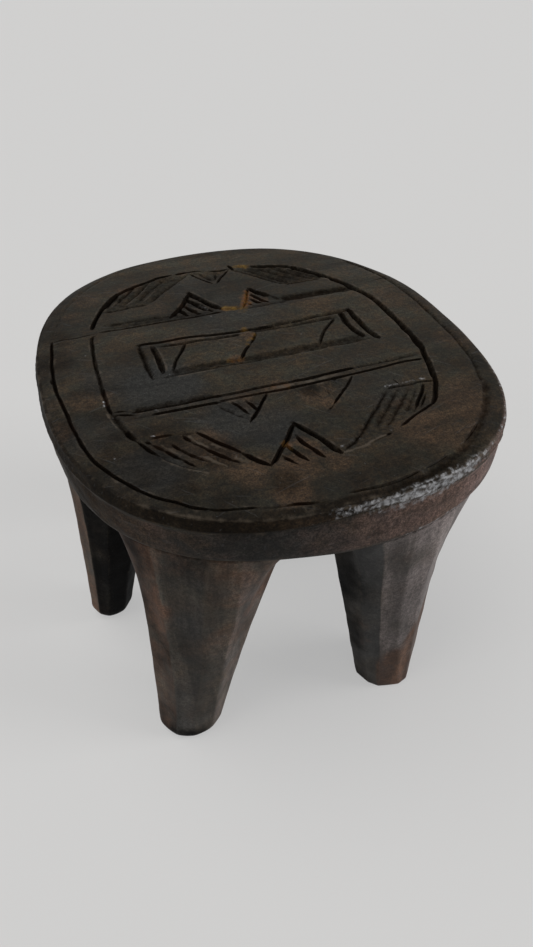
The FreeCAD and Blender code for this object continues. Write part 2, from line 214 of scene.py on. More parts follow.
# the carving, in mm from the seat's middle: kind, width, depth, then the line it follows
seat["carving"] = {
    "ringLeft": [
        ("run", 4.2, 3.2, [(-113.5, 69.5), (-109.5, 80), (-105.5, 89), (-101.5, 97), (-97, 105.5),
            (-90.5, 114.5), (-83.5, 121)]),
        ("vee", 3.6, 2.8, [(-86, 119), (-78, 124.5), (-70, 129.5), (-62, 133), (-55, 135)]),
        ("vee", 3.2, 2.4, [(-58, 134), (-50, 138), (-46, 140.2), (-40, 141), (-33, 141.4)]),
        ("dim", 3.2, 2.0, [(-113, 56.5), (-115.5, 54), (-117, 46), (-118, 34), (-118.8, 20),
            (-119.3, 4)]),
        ("dim", 3.6, 1.7, [(-119.2, 9), (-119.6, -14), (-119.4, -30), (-118.8, -46)]),
        ("vee", 2.2, 1.9, [(-118.8, -18), (-119.2, -24), (-118.8, -29)]),
        ("vee", 2.2, 2.0, [(-119.6, -35), (-119.4, -43), (-118, -52)]),
        ("shade", 6.2, 1.8, [(-118, -48), (-116.5, -56), (-114.5, -66), (-112, -75), (-109.5, -83),
            (-106.5, -89)]),
        ("vee", 5.2, 3.2, [(-112.4, -73), (-111.2, -77.5), (-109.4, -82)]),
        ("vee", 2.4, 2.0, [(-108, -86), (-104.5, -93.5), (-101.5, -99.5), (-97.5, -105)]),
        ("soft", 1.8, 0.8, [(-99, -103), (-92, -112.5), (-85, -120.5), (-76, -127.5)]),
    ],
    "ringTop": [
        ("vee", 3.4, 2.4, [(-28, 141), (-22, 142), (-16, 142.2)]),
        ("dim", 3.6, 2.2, [(-17.5, 142), (-10, 142), (-2.5, 140.5)]),
        ("dim", 2.6, 1.5, [(1.5, 138.7), (8, 136.5), (14, 135.5), (20.5, 136.5)]),
        ("vee", 3.4, 3.2, [(22.2, 143.5), (22.7, 139), (23.2, 134.5)]),
        ("soft", 4.4, 1.1, [(24, 137.5), (34, 137), (43, 134)]),
    ],
    "ringRight": [
        ("vee", 5.0, 3.2, [(42, 134.2), (50, 132), (60, 129.5), (70, 125), (78, 119.5)]),
        ("run", 6.2, 3.8, [(75, 121.5), (83, 114), (88, 107), (93, 100.5), (97.5, 93.5), (102, 86)]),
        ("run", 7.2, 4.2, [(100.5, 88.5), (106, 77.5), (110.4, 68), (114, 59), (117, 51), (119, 42)]),
        ("run", 6.5, 4.0, [(118.6, 45), (120, 30), (120.6, 15), (121, 0), (121, -18), (120.6, -32),
            (119, -46)]),
        ("run", 5.5, 3.5, [(119.4, -43), (116.6, -53), (113.8, -64), (111, -75), (108, -84)]),
        ("vee", 3.8, 2.8, [(109, -81), (106, -89), (102, -96), (97, -105), (91, -112)]),
        ("vee", 1.9, 1.6, [(93, -110.6), (84, -115), (75, -119), (66, -124), (58, -128.3)]),
        ("vee", 2.2, 1.5, [(49.5, -132), (47.5, -132.6), (45.8, -133.2)]),
        ("soft", 1.6, 0.6, [(52, -131.2), (45, -133.8), (30, -137.5), (11, -140.8)]),
    ],
    "outerRing": [
        ("vee", 2.2, 2.0, [(-145.8, 58), (-148, 40), (-149.4, 26), (-150.4, 7), (-150.4, -12),
            (-148.8, -24), (-147, -39), (-145, -58), (-143, -71)]),
        ("vee", 3.6, 2.4, [(-151.6, 6), (-151.2, 2), (-150.6, -2)]),
        ("run", 2.2, 2.3, [(-143.4, -68), (-141, -82), (-138, -93), (-133.5, -104), (-128, -114),
            (-123, -122), (-115.5, -133)]),
        ("run", 1.8, 2.0, [(-116.5, -131.5), (-110.5, -139), (-105, -144), (-98, -149.7),
            (-90.5, -156.3), (-82, -161)]),
        ("dim", 1.9, 1.5, [(-83, -160.4), (-75.5, -164), (-64.5, -167), (-54, -169.5)]),
        ("soft", 2.4, 0.9, [(-58, -168.5), (-46, -171.5), (-35, -173.5), (-18, -177), (-6, -177.5)]),
        ("vee", 2.0, 1.4, [(-37, -173), (-29, -175), (-20, -177)]),
        ("dim", 2.0, 1.4, [(-2, -175), (10, -176), (24, -176), (38, -174.2), (50, -171.6)]),
        ("dim", 1.8, 1.1, [(52, -171), (62, -168), (74, -163.6)]),
        ("dim", 1.8, 1.2, [(88, -156.5), (97, -150.4), (108, -141)]),
        ("soft", 7.0, 1.4, [(16, -180), (36, -178), (54, -174.4), (68, -169.6), (82, -163),
            (94, -155.4), (103, -148.4), (112, -140), (123, -127), (133, -112), (140, -98)]),
        ("soft", 4.4, 1.3, [(136, -102), (145, -76), (150, -46), (151.5, -10), (151.5, 30), (147, 66),
            (138, 96), (124, 122)]),
        ("hatch", 3.2, 0.5, [(-146, 54), (-142, 74), (-134, 98), (-121, 122), (-104, 143), (-80, 161),
            (-46, 173), (-8, 177)]),
    ],
    "upperBand": [
        ("soft", 5.4, 1.6, [(-107, 71), (-90, 70.6), (-70, 70.2), (-46, 69.6)]),
        ("dim", 3.2, 1.8, [(-108, 61.2), (-80, 60.9), (-50, 60.8), (-30, 60.6), (-7, 61)]),
        ("soft", 9.0, 0.8, [(-106, 65), (-60, 65), (-12, 64)]),
        ("soft", 9.4, 1.3, [(40, 66.5), (60, 66), (80, 65.8), (112, 65)]),
        ("soft", 2.8, 1.0, [(9, 60.6), (30, 60.2), (52, 60.6)]),
        ("soft", 9.5, 0.9, [(38, 64.4), (75, 64), (112, 63.8)]),
        ("soft", 7.0, 1.0, [(-9, 64.8), (2, 63.8), (13, 61.8)]),
    ],
    "upperLeftPeak": [
        ("vee", 6.0, 4.0, [(-26, 103.2), (-21, 93), (-15.5, 82), (-7.3, 66.8)]),
        ("vee", 3.4, 2.6, [(-25.3, 102.2), (-31, 93), (-35, 85.5), (-39.5, 79), (-44, 73),
            (-50, 66.6)]),
        ("vee", 6.6, 4.1, [(-30.7, 95), (-27, 87), (-22, 78), (-15.2, 66.2)]),
        ("vee", 5.8, 3.8, [(-34.4, 81.5), (-30.5, 73.5), (-26.8, 66)]),
        ("vee", 5.0, 3.3, [(-40.7, 79), (-38.5, 73), (-36.6, 66)]),
        ("soft", 3.0, 1.4, [(-46.5, 72), (-44, 66.5)]),
    ],
    "upperRightPeak": [
        ("dim", 2.6, 1.7, [(25.3, 95), (21, 85), (16.5, 74), (11, 62)]),
        ("vee", 5.0, 3.6, [(25.7, 94.6), (29.4, 88), (32, 84)]),
        ("vee", 6.6, 4.0, [(29.5, 87), (34, 81.4), (38.4, 75.4)]),
        ("dim", 3.2, 2.0, [(38.5, 75.6), (41, 71.4), (43.5, 66.8)]),
        ("vee", 4.4, 3.2, [(27, 90.5), (29.5, 85.5), (31.5, 81)]),
        ("vee", 4.6, 3.3, [(24.4, 83), (28.5, 75), (33.3, 65.4)]),
        ("vee", 4.2, 3.0, [(21.2, 77), (24, 71.5), (27.3, 66.4)]),
        ("dim", 2.2, 1.5, [(16.6, 72), (18, 68), (19.8, 63)]),
    ],
    "upperMiddlePoint": [
        ("dim", 2.8, 2.0, [(-15.8, 138), (-11, 129), (-6, 120), (-1.8, 112.6)]),
        ("soft", 3.2, 1.6, [(-9, 139), (-5, 130), (0, 119.5)]),
        ("soft", 2.6, 1.2, [(6, 136), (4.6, 127), (2.6, 118)]),
        ("dim", 2.6, 1.6, [(19.4, 134.5), (12, 125.5), (6, 118), (1.4, 111.4)]),
    ],
    "upperLeftFan": [
        ("hatch", 5.0, 1.3, [(-15, 140), (-30, 127.4), (-40, 118), (-50, 108.5), (-63, 94.5)]),
        ("hatch", 4.0, 1.0, [(-38, 138.5), (-55, 120), (-73, 99.5)]),
        ("hatch", 4.4, 1.3, [(-53, 136), (-62, 124), (-70, 114), (-84, 99.5)]),
        ("soft", 4.4, 1.5, [(-66, 132), (-79, 116), (-92, 101)]),
        ("shade", 5.4, 1.7, [(-82, 122.5), (-91, 110.5), (-101, 97)]),
        ("shade", 4.6, 1.6, [(-103, 93.6), (-88, 92.6), (-75, 94.6), (-62, 94.4)]),
    ],
    "upperRightFan": [
        ("shade", 4.6, 1.8, [(20.5, 135.5), (30, 125.5), (38, 116.5), (45, 107.5), (52, 98),
            (58, 91.5)]),
        ("hatch", 3.8, 1.1, [(32, 132), (50, 110), (65, 92)]),
        ("hatch", 3.8, 1.1, [(44, 131), (60, 112), (76, 93)]),
        ("hatch", 3.8, 1.2, [(56, 128), (72, 110), (86, 93)]),
        ("hatch", 3.0, 0.9, [(70, 121), (84, 104), (92, 93)]),
        ("soft", 3.4, 1.4, [(54, 92.6), (70, 91), (95, 90.8)]),
    ],
    "rectangle": [
        ("vee", 3.1, 2.4, [(-85, 31), (-77, 30.8), (-66, 29.8), (-50, 30.4), (-40, 29.8), (-30, 28.6)]),
        ("run", 4.2, 2.8, [(-33, 29), (-18, 27), (-8, 25.8), (2, 25.4), (12, 25.4), (23, 25)]),
        ("shade", 6.4, 1.8, [(16, 25.6), (40, 26.8), (60, 28.2), (76, 29.2), (94, 29.8)]),
        ("dim", 3.7, 2.3, [(-69, 23.4), (-55, 22.8), (-44, 23.2), (-34, 22.8), (-20, 22), (-5, 21)]),
        ("soft", 5.0, 1.4, [(2, 22.4), (25, 21.5), (50, 21.6), (80, 22)]),
        ("soft", 11.5, 1.5, [(-72, -14.4), (-40, -13.4), (0, -14.5), (50, -14.6), (86, -14.6)]),
        ("soft", 2.8, 1.1, [(-81, -18.9), (-40, -18.8), (20, -19.3), (90, -19)]),
        ("shade", 6.0, 2.7, [(-83.5, 31.5), (-83.6, 10), (-83.4, -5), (-83, -19)]),
        ("dim", 5.2, 2.7, [(-74, 26), (-72.9, 12), (-73.6, -12.4)]),
        ("vee", 1.8, 1.8, [(-75.3, 26.5), (-74.6, 12), (-75, -12.6)]),
        ("run", 5.8, 3.6, [(82.6, 27), (81.2, 12), (82, 0), (84.6, -13)]),
        ("run", 6.2, 3.8, [(91.6, 30), (91.2, 10), (92, -6), (95, -20)]),
        ("dim", 2.9, 2.0, [(-48.5, 22.6), (-54.5, 12), (-61, 1.6), (-66.4, -11.6)]),
        ("dim", 2.4, 1.6, [(8.4, 20.6), (1, 9), (-2, 4.6)]),
        ("vee", 2.5, 1.7, [(-2.2, 5), (-8, -2.4), (-15, -13)]),
        ("dim", 3.1, 1.8, [(75, 20.6), (66, 11.6), (58, 2.6), (51.6, -7), (48.2, -13.6)]),
    ],
    "lowerBand": [
        ("vee", 1.6, 1.2, [(-117, -49.2), (-113, -49.8), (-108, -51)]),
        ("vee", 2.0, 1.6, [(-116, -53), (-109, -55.3), (-103.5, -57.2)]),
        ("shade", 8.4, 1.3, [(-107, -52), (-85, -52), (-66, -52.4), (-44, -53.4)]),
        ("run", 3.6, 2.4, [(-103, -53.6), (-85, -54.2), (-70, -54.6), (-50, -54.3), (-43, -55)]),
        ("dim", 3.0, 2.0, [(-45, -54.8), (-30, -54.7), (-16, -54), (0, -54.3), (14, -55)]),
        ("run", 2.9, 2.3, [(11, -55), (24, -55.3), (40, -54), (58, -52.7)]),
        ("soft", 3.8, 1.4, [(52, -52.8), (75, -52.2), (95, -52), (114, -51.8)]),
        ("soft", 2.4, 0.9, [(-110, -60.4), (-99, -60.5), (-86, -60.7)]),
        ("run", 2.6, 2.2, [(-91, -60.5), (-70, -61.4), (-46.5, -62)]),
        ("dim", 2.4, 1.4, [(-48, -61.6), (-37, -61), (-26, -61), (-11, -61)]),
        ("run", 2.4, 2.0, [(-14, -61), (0, -61.6), (14, -62), (30, -61.6), (44, -61), (57, -60.4)]),
        ("run", 2.2, 1.7, [(55, -60.5), (75, -59), (92, -58), (111, -58.6)]),
    ],
    "lowerLeftPoint": [
        ("soft", 4.4, 1.6, [(-49, -63), (-43.5, -72.5), (-38, -80), (-32.6, -87.6)]),
        ("vee", 2.4, 1.8, [(-38, -64), (-33.5, -73), (-30.7, -81)]),
        ("vee", 2.4, 1.8, [(-28, -65), (-25.3, -74), (-23.8, -80)]),
        ("vee", 2.7, 2.6, [(-12, -63.2), (-18, -71), (-24, -79.5), (-28, -84.5), (-32.6, -90)]),
    ],
    "lowerRightPoint": [
        ("hatch", 2.4, 0.6, [(8.6, -65), (15, -80), (21.4, -94)]),
        ("hatch", 3.2, 0.9, [(15, -65), (20, -73), (24.5, -83)]),
        ("hatch", 3.2, 0.9, [(31, -65), (30.5, -72), (29, -80)]),
        ("vee", 2.2, 2.1, [(53, -62.8), (46, -70.8), (40, -76.8), (33, -83.8), (28, -89.6)]),
        ("dim", 2.0, 1.4, [(27, -90.6), (24, -93), (21.4, -95.2)]),
    ],
    "lowerLeftFan": [
        ("dim", 2.6, 1.5, [(-100, -87), (-95, -86), (-90, -85.8), (-83, -86.6)]),
        ("soft", 2.2, 1.3, [(-81, -87), (-69, -88.2)]),
        ("vee", 2.3, 2.3, [(-69.4, -89), (-62, -99.5), (-55, -109.5), (-48.4, -118.8)]),
        ("vee", 3.4, 3.0, [(-47.4, -121), (-41, -129.5), (-35, -137)]),
        ("vee", 2.5, 2.1, [(-78.6, -89.6), (-75.2, -96.6)]),
        ("dim", 2.0, 1.5, [(-75.8, -95.6), (-66.5, -109)]),
        ("vee", 3.0, 2.8, [(-67.6, -107.6), (-61, -116.8), (-55.8, -123.4)]),
        ("dim", 2.2, 1.4, [(-57, -122), (-51, -128)]),
        ("vee", 2.3, 1.9, [(-87.4, -95.6), (-83.8, -102.4)]),
        ("dim", 2.2, 1.6, [(-84.6, -101), (-77, -111.6), (-70.6, -119.4)]),
        ("vee", 2.2, 1.8, [(-78.6, -109.4), (-76.4, -112.4)]),
        ("vee", 2.2, 1.7, [(-103, -88.6), (-100, -91)]),
        ("dim", 2.6, 1.9, [(-99.4, -91.6), (-96, -97.2), (-92.4, -101.8)]),
        ("vee", 2.3, 2.2, [(-93.6, -100.2), (-89.6, -105.8), (-85.2, -112)]),
        ("dim", 2.4, 1.6, [(-85.6, -111.4), (-81.6, -117.6), (-78, -122.6)]),
    ],
    "lowerMiddlePeak": [
        ("vee", 2.9, 2.8, [(-6.2, -101.4), (-12, -109.5), (-17, -116), (-22, -122.5), (-28, -130),
            (-34.2, -136)]),
        ("vee", 4.8, 3.8, [(-6.6, -101), (-1, -111), (4, -121.5), (11, -140)]),
        ("vee", 3.0, 2.6, [(-9.3, -113.5), (-7, -123.5), (0, -140.2)]),
        ("vee", 3.0, 2.6, [(-18.8, -120.4), (-15.5, -129.5), (-11.2, -139.8)]),
        ("vee", 2.2, 1.9, [(-24.8, -130), (-19, -141)]),
    ],
    "lowerRightFan": [
        ("dim", 2.0, 1.4, [(68, -85.6), (76, -85.2), (87, -86.2), (95, -85.6), (107, -87)]),
        ("shade", 4.6, 1.6, [(69.6, -86), (60, -95.6), (51, -105.4), (46, -110), (37, -119),
            (29, -127.4), (20, -134), (11.6, -139.4)]),
        ("soft", 4.6, 1.3, [(75, -89), (62, -103.5), (50, -116), (42, -124)]),
        ("soft", 4.2, 1.3, [(83, -91), (70, -105), (60, -115), (48, -127)]),
        ("hatch", 3.4, 1.3, [(90, -91), (76, -107), (68, -116)]),
        ("vee", 2.3, 2.0, [(97, -88.6), (90.6, -97), (84.6, -104), (78, -112)]),
        ("dim", 1.8, 1.3, [(93.6, -98), (88, -104.8), (82.6, -111)]),
        ("soft", 2.2, 0.9, [(79, -110.6), (73.6, -117.4)]),
    ],
    "cracks": [
        ("crack", 1.0, 1.0, [(-147, 57.2), (-138, 58.8), (-128, 58), (-119, 59.4), (-110, 60.2)]),
        ("crack", 1.1, 0.9, [(78.6, -75.5), (79.6, -79.5), (80.4, -84)]),
        ("crack", 1.0, 0.8, [(128, 70), (141, 72), (150, 71)]),
    ],
}

# places cut away over an area: depth, how wide the edge slopes, how dark, then the corners
seat["hollows"] = {
    "upperLeftFan": (0.7, 4.0, 0.40, [(-18, 138), (-62, 94), (-101, 93), (-97, 105.5), (-84, 121),
                                      (-62, 133), (-40, 140.5)]),
    "upperRightFan": (1.1, 4.0, 0.56, [(25, 134.5), (43, 134), (60, 129.5), (77, 120), (88, 107),
                                       (97, 94), (96, 91), (57, 92)]),
    "upperMiddle": (0.8, 4.0, 0.28, [(-14, 139), (0, 111), (19, 135)]),
    "upperLeftPeak": (0.9, 2.5, 0.3, [(-25.5, 102), (-50, 66.5), (-8, 66.5)]),
    "upperRightPeak": (0.9, 2.5, 0.1, [(25.5, 94), (11.5, 63), (43, 66)]),
    "upperBandRight": (0.5, 4.0, 0.52, [(46, 71.5), (46, 59.6), (114, 59), (109, 71.5)]),
    "rectangleFloor": (0.45, 3.0, 0.0, [(-71, 22), (-71, -12), (80, -12), (79, 20)]),
    "lowerLeftPoint": (0.8, 4.0, 0.25, [(-48, -62.5), (-32, -89), (-12.5, -62.5)]),
    "lowerLeftFan": (0.7, 5.0, 0.1, [(-103, -88), (-69, -88), (-34, -137), (-50, -138), (-78, -127),
                                     (-97, -107)]),
    "lowerMiddlePeak": (0.8, 4.0, 0.1, [(-6.3, -102), (-34, -136), (-10, -142), (11, -139)]),
    "lowerRightFan": (0.8, 5.0, 0.2, [(69, -85.5), (12, -139), (47, -133), (91, -112), (107, -87)]),
    "frontWorn": (0.9, 12.0, 0.0, [(-74, -130), (-38, -139), (8, -143), (16, -153), (-20, -160),
                                   (-62, -148)]),
}

# worn ridges left pale between the cuts, those in the pale mask also a painted highlight: mask, width
# and strength, then the line
seat["ridges"] = [
    ("edge", 1.6, 0.9, [(-75, -91), (-70.4, -100), (-66.4, -105.4)]),
    ("edge", 1.8, 1.0, [(-70.4, -114.6), (-65, -122.4), (-60.4, -127.6)]),
    ("edge", 1.5, 0.7, [(-62.6, -103.6), (-57, -111), (-52.4, -117.6)]),
    ("edge", 1.4, 0.7, [(-96, -110), (-86, -120.8), (-73, -131)]),
    ("edge", 1.6, 0.6, [(-94, -94), (-88.6, -102), (-84.6, -108)]),
    ("edge", 1.5, 0.7, [(-52.6, -122.6), (-47.4, -128.6)]),
    ("pale", 0.9, 0.36, [(68, -83), (73, -82.6), (79, -82.4)]),
    ("pale", 0.9, 0.32, [(83, -82.2), (91, -82.4), (100, -83.4)]),
    ("edge", 1.4, 0.9, [(13, -140), (26, -138.4), (37, -134.8), (45, -132.6)]),
    ("edge", 1.7, 0.8, [(-79.6, 100.6), (-72, 110), (-62, 122), (-53, 133.6)]),
    ("edge", 1.6, 0.7, [(-66.4, 101), (-60, 108), (-52, 118)]),
    ("edge", 1.5, 0.6, [(-92.4, 101), (-87, 108.4)]),
    ("edge", 2.6, 1.0, [(-5, -57), (2, -58), (9, -58.4)]),
    ("edge", 1.5, 0.6, [(14, -58.4), (30, -58), (48, -57)]),
    ("edge", 1.5, 0.7, [(-121, -50), (-119.4, -60), (-117.4, -67)]),
    ("edge", 1.4, 0.6, [(-64, -20.6), (-50, -20.6), (-38, -20.8)]),
    ("pale", 1.6, 0.5, [(-22, 82), (-17, 73)]),
]

# a sloping chip: its three corners, each with its own depth
seat["chips"] = {
    "lowerRightPoint": [(8, -64, 0.2), (52, -63, 1.7), (22, -95, 0.5)],
    "lowerLeftPoint": [(-48, -63, 0.2), (-13, -63, 1.1), (-32, -89, 0.6)],
    "upperMiddle": [(-15, 139, 0.9), (19, 135, 0.2), (0, 111, 0.2)],
}

# scoops broken out of the lip: angle, height below the top, half angle, half height, depth
seat["lipScoops"] = (
    (-89, 11.5, 5.5, 2.6, 1.5), (-84, 8.2, 5.0, 3.2, 1.6), (-78, 7.4, 4.0, 3.0, 1.3),
    (-72, 8.4, 4.6, 2.8, 1.5), (-66, 7.6, 3.4, 3.0, 1.0), (-61, 8.6, 3.0, 2.6, 1.2),
    (-81, 12.6, 4.0, 1.8, 1.0), (-69, 12.4, 4.4, 1.9, 0.9), (-112, 13.4, 5.0, 1.5, 1.1),
    (-105, 13.2, 3.6, 1.5, 1.2), (-125, 9.0, 3.2, 2.4, 0.6), (-146, 8.0, 3.6, 2.6, 0.7),
    (-47, 9.4, 3.2, 2.6, 0.7), (-24, 9.0, 4.0, 2.8, 0.6), (12, 8.4, 3.4, 2.4, 0.6),
    (64, 9.2, 4.2, 2.6, 0.8), (103, 8.6, 3.8, 2.6, 0.7), (149, 9.4, 4.0, 2.8, 0.8),
    (176, 8.2, 3.2, 2.4, 0.6), (-164, 12.0, 3.0, 2.0, 0.6),
)

# the side's zones in mm below the top, each with where it starts, is full, and ends; the face of
# the lip starts that far below the lip's own edge
seat["sideZones"] = {
    "lip": (3.0, 5.0, 9.0, 12.0),
    "scoops": (2.0, 4.5, 13.0, 17.0),
    "band": (12.0, 15.0, 35.5, 38.0),
    "face": (0.5, 1.5, 9.5, 11.5),
}
# the step over the band: its depth, how that varies, and where it is deeper in degrees
seat["stepDepth"] = {"usual": 0.45, "varies": 0.2, "deeper": 0.8, "around": (-100, 20)}
# marks of the hewing: depth, length, seed, and how much shorter they are down the side
seat["hewn"] = {"band": (0.6, 24, 32, 2.2), "lip": (0.3, 7, 33, 2.0)}
seat["sideWaves"] = {"depth": 0.3, "length": 45, "from": (1.5, 5)}
# narrower lines along the side: where they lie and how wide they are
seat["sideLines"] = {"edge": (0.4, 1.0), "step": (11.6, 0.8), "underLip": (13.4, 3.0),
                     "foot": (36.4, 0.9)}
# the part of the lip that is broken open, in degrees; its face and edge carry a painted highlight
seat["brokenTurns"] = (-99, -79, -68, -54)

# stains on the side, with painted light among them: mask, zone or line, strength, then their direction
# and spread in degrees; the pale ones are painted highlights on worn edges, and the edge and dusty
# ones turned to the right, from -20 to -46 degrees, are painted light on the lit side
seat["sideStains"] = (
    ("edge", "edge", 0.4, -24, 34), ("edge", "edge", -0.24, -146, 14), ("edge", "face", 0.6, -20, 30),
    ("pale", "underLip", 0.62, -75, 9), ("pale", "foot", 0.6, -62, 18), ("pale", "edge", 0.35, -40, 18),
    ("dusty", "band", 0.3, -84, 14), ("dusty", "band", 0.14, -110, 18),
    ("dusty", "band", 0.16, -131, 9), ("dusty", "band", 0.58, -35, 19),
    ("dusty", "face", 0.66, -46, 17), ("dusty", "edge", 0.66, -46, 17),
    ("rust", "face", 0.35, -120, 40), ("rust", "face", 0.4, -100, 7), ("rust", "band", 0.7, -140, 22),
    ("rust", "band", 0.95, -55, 18), ("rust", "band", 0.5, -67, 7), ("rust", "band", 0.45, -84, 16),
    ("rust", "band", 0.4, 70, 50), ("grey", "band", 0.9, -108, 22), ("grey", "band", 0.5, -80, 30),
    ("soot", "band", 0.3, -168, 34), ("soot", "band", 0.6, -148, 15),
)

# the side's tones, and where they are cleared away: share, then direction and spread in degrees; the
# step's tone is painted shade, the broken lip's pale is a painted highlight on worn wood, the dust
# near it has painted light, and soot cleared on the right is painted light
seat["sideTones"] = {"step": 0.8, "edge": 0.44, "foot": 0.45, "scoopBorder": 0.5, "broken": 0.98,
                     "brokenEdge": 0.95, "dust": 0.85, "dustAround": (-58, 16), "soot": 0.95,
                     "sootOffBroken": 0.8}
seat["sideCleared"] = {"step": (0.8, -72, 14), "lowLip": (0.8, -72, 12), "dust": (0.35, -67, 5),
                       "sootLeft": (0.4, -100, 7), "sootRight": (0.5, -48, 14)}

# tones that follow the rim on the top: strength, direction and spread in degrees; the soot lies on
# the slope below the shoulder, the others on the outermost strip; the pale one is a painted highlight
# above the broken lip, and the dusty one and the soot cleared at -50 degrees are painted light on the
# lit right side
seat["rimTones"] = {"soot": 0.45, "frontSoot": (0.4, -85, 40), "clearedSoot": (0.55, -50, 13),
                    "pale": (0.62, -72, 8), "dusty": (0.3, -34, 22)}

# soft round stains on the top, by mask: x, y, radius, strength
seat["stains"] = {
    "ochre": (
        (-3, 65.5, 6.5, 0.95), (3, 64, 6, 0.75), (10, 62, 6, 0.62), (13, 67, 4.5, 0.8),
        (15.4, 73, 4.5, 0.85), (17.6, 78, 4.4, 0.85), (19.6, 83, 4, 0.8), (22, 89, 3.4, 0.7),
        (18, 70, 4, 0.6), (28, 139, 4.6, 0.6), (32, 138.5, 5, 0.8), (36, 136, 4.4, 0.85),
        (8, 57, 7, 0.3), (0.5, 27.6, 4, 0.85), (5.4, 18.6, 3.2, 0.75), (2, 14, 3.2, 0.7),
        (-1.4, 11, 3.0, 0.75), (-4, 6, 2.6, 0.65), (-22, -12, 6, 0.34), (-15, -12.6, 5, 0.38),
        (-19, -119, 3.6, 0.6), (-17, -123, 3.2, 0.45), (5, -58, 3.8, 0.44), (-5, -57, 3.6, 0.38),
    ),
    "rust": (
        (0, -57, 11, 0.8), (-12, -58, 8, 0.6), (-26, -59, 12, 0.5), (-38, -60, 8, 0.4),
        (-30, -70, 10, 0.35), (20, -78, 14, 0.55), (15, -70, 9, 0.5), (24, -90, 7, 0.6),
        (32, -68, 9, 0.35), (-8, -120, 8, 0.6), (-2, -134, 7, 0.7), (-14, -132, 6, 0.5),
        (-50, -138, 22, 0.7), (-22, -146, 22, 0.6), (-62, -128, 12, 0.5), (6, -146, 14, 0.4),
        (-78, -90, 8, 0.5), (-96, -87, 6, 0.5), (-55, 28, 14, 0.5), (-36, 29, 8, 0.3),
        (-112, 118, 18, 0.45), (-126, 92, 16, 0.4), (-140, 40, 20, 0.3), (96, -132, 26, 0.62),
        (70, -142, 24, 0.45), (124, -104, 22, 0.6), (150, -40, 26, 0.45), (152, 20, 24, 0.3),
        (72, -104, 12, 0.35), (60, -120, 12, 0.3), (-72, 127, 8, 0.5), (104, 84, 5, 0.4),
        (-8, 63, 6, 0.4), (30, 62, 9, 0.3), (-36, 84, 6, 0.6), (-30, 72, 5, 0.3), (-32, -166, 17, 0.85),
        (-24, -154, 13, 0.6), (20, 78, 11, 1.0), (30, 72, 8, 0.8), (15, 68, 8, 1.0), (23, 88, 7, 0.9),
        (-68, -104, 24, 0.75), (-56, -118, 14, 0.7), (-88, -98, 12, 0.6), (-4, -126, 9, 0.8),
        (-16, -134, 8, 0.8), (60, -62, 8, 0.3), (-78, 126, 9, 0.85), (-66, 131, 8, 0.85),
        (-118, -28, 8, 0.9), (-120, -36, 5, 0.8), (-60, 30, 9, 0.7), (29, -87, 5, 1.0),
        (-97, -94, 6, 0.8), (-93, -86, 8, 0.8), (-72, -113, 7, 0.9), (-21, 141, 7, 0.7),
        (16, -74, 12, 0.9), (24, -84, 9, 0.8), (80, -138, 30, 0.75), (112, -120, 28, 0.75),
        (66, -130, 18, 0.6), (84, -154, 14, 0.7), (-134, -30, 18, 0.5), (-155, -58, 16, 0.8),
        (-154, -26, 10, 0.5), (70, 48, 26, 0.4), (134, 40, 30, 0.35), (-60, 84, 16, 0.4),
        (-18, -12, 9, 0.8), (0, 18, 8, 0.6), (2, -57, 8, 0.9), (132, -130, 16, 0.5),
        (-18, -120, 6, 0.9),
    ),
    "soot": (
        (-70, -152, 34, 0.45), (34, -160, 24, 0.42), (58, -153, 22, 0.32), (12, -167, 16, 0.4),
        (84, -146, 30, 0.2), (-148, 30, 26, 0.6), (-142, 62, 24, 0.5), (-152, 0, 18, 0.5),
        (-20, -52, 10, 0.3), (136, -100, 16, 0.35), (146, -60, 12, 0.2), (-140, 70, 20, 0.3),
        (-100, 70, 14, 0.2), (20, 150, 14, 0.2), (-96, -94, 32, 0.58), (-66, -114, 28, 0.56),
        (-112, -106, 64, 0.52), (-126, -36, 42, 0.48), (-96, -146, 28, 0.62), (-152, -58, 20, 0.58),
        (-32, -154, 18, 0.56), (18, -69, 11, 0.62), (-14, -131, 13, 0.5),
    ),
    # pale nicks, which also stand in for small glints as painted highlights
    "pale": (
        (-121.4, -39.6, 1.6, 1.0), (-121, -35, 1.3, 0.8), (-19, 57, 2.2, 0.9), (-97, -84, 1.4, 0.5),
        (-34, 22, 1.2, 0.8), (-112.6, -47.6, 1.2, 0.7), (-124, -97.6, 1.4, 0.5), (30, -130, 2.2, 0.22),
        (-52, -119, 1.2, 0.5), (14, -134, 1.6, 0.25), (20, -131, 1.4, 0.2), (-2, -149, 1.2, 0.45),
        (51, -130, 1.8, 0.22), (64, -124, 1.8, 0.2), (8, 141, 2.0, 0.5), (38, -20, 1.6, 0.5),
        (-88, -56, 1.4, 0.4), (94, -6, 1.4, 0.4), (41, 7, 1.3, 0.4), (-70, -18, 1.6, 0.4),
        (-124, 30, 1.4, 0.4),
    ),
    "grey": (
        (-80, -30, 46, 0.9), (-40, -84, 40, 0.8), (-20, -100, 34, 0.8), (-106, -118, 36, 0.8),
        (0, 50, 60, 0.5), (60, -80, 36, 0.4), (-110, -10, 34, 0.6), (-20, 110, 30, 0.4),
        (60, -30, 40, 0.25), (128, 110, 40, 0.4), (-134, -70, 30, 0.6),
    ),
}


# the rim's or the shoulder's distance from the middle, by angle; each corner has its own squareness
def reachOf(line, angle):
    shape = seat[line]
    power = shape["square"]
    for number, corner in enumerate(shape["corners"]):
        facing = np.cos(angle - math.radians(45 + 90 * number))
        power = power + (corner - shape["square"]) * np.maximum(facing, 0) ** 4
    across = np.abs(np.cos(angle)) / shape["halfWidth"]
    along = np.abs(np.sin(angle)) / shape["halfLength"]
    return (across ** power + along ** power) ** (-1.0 / power)


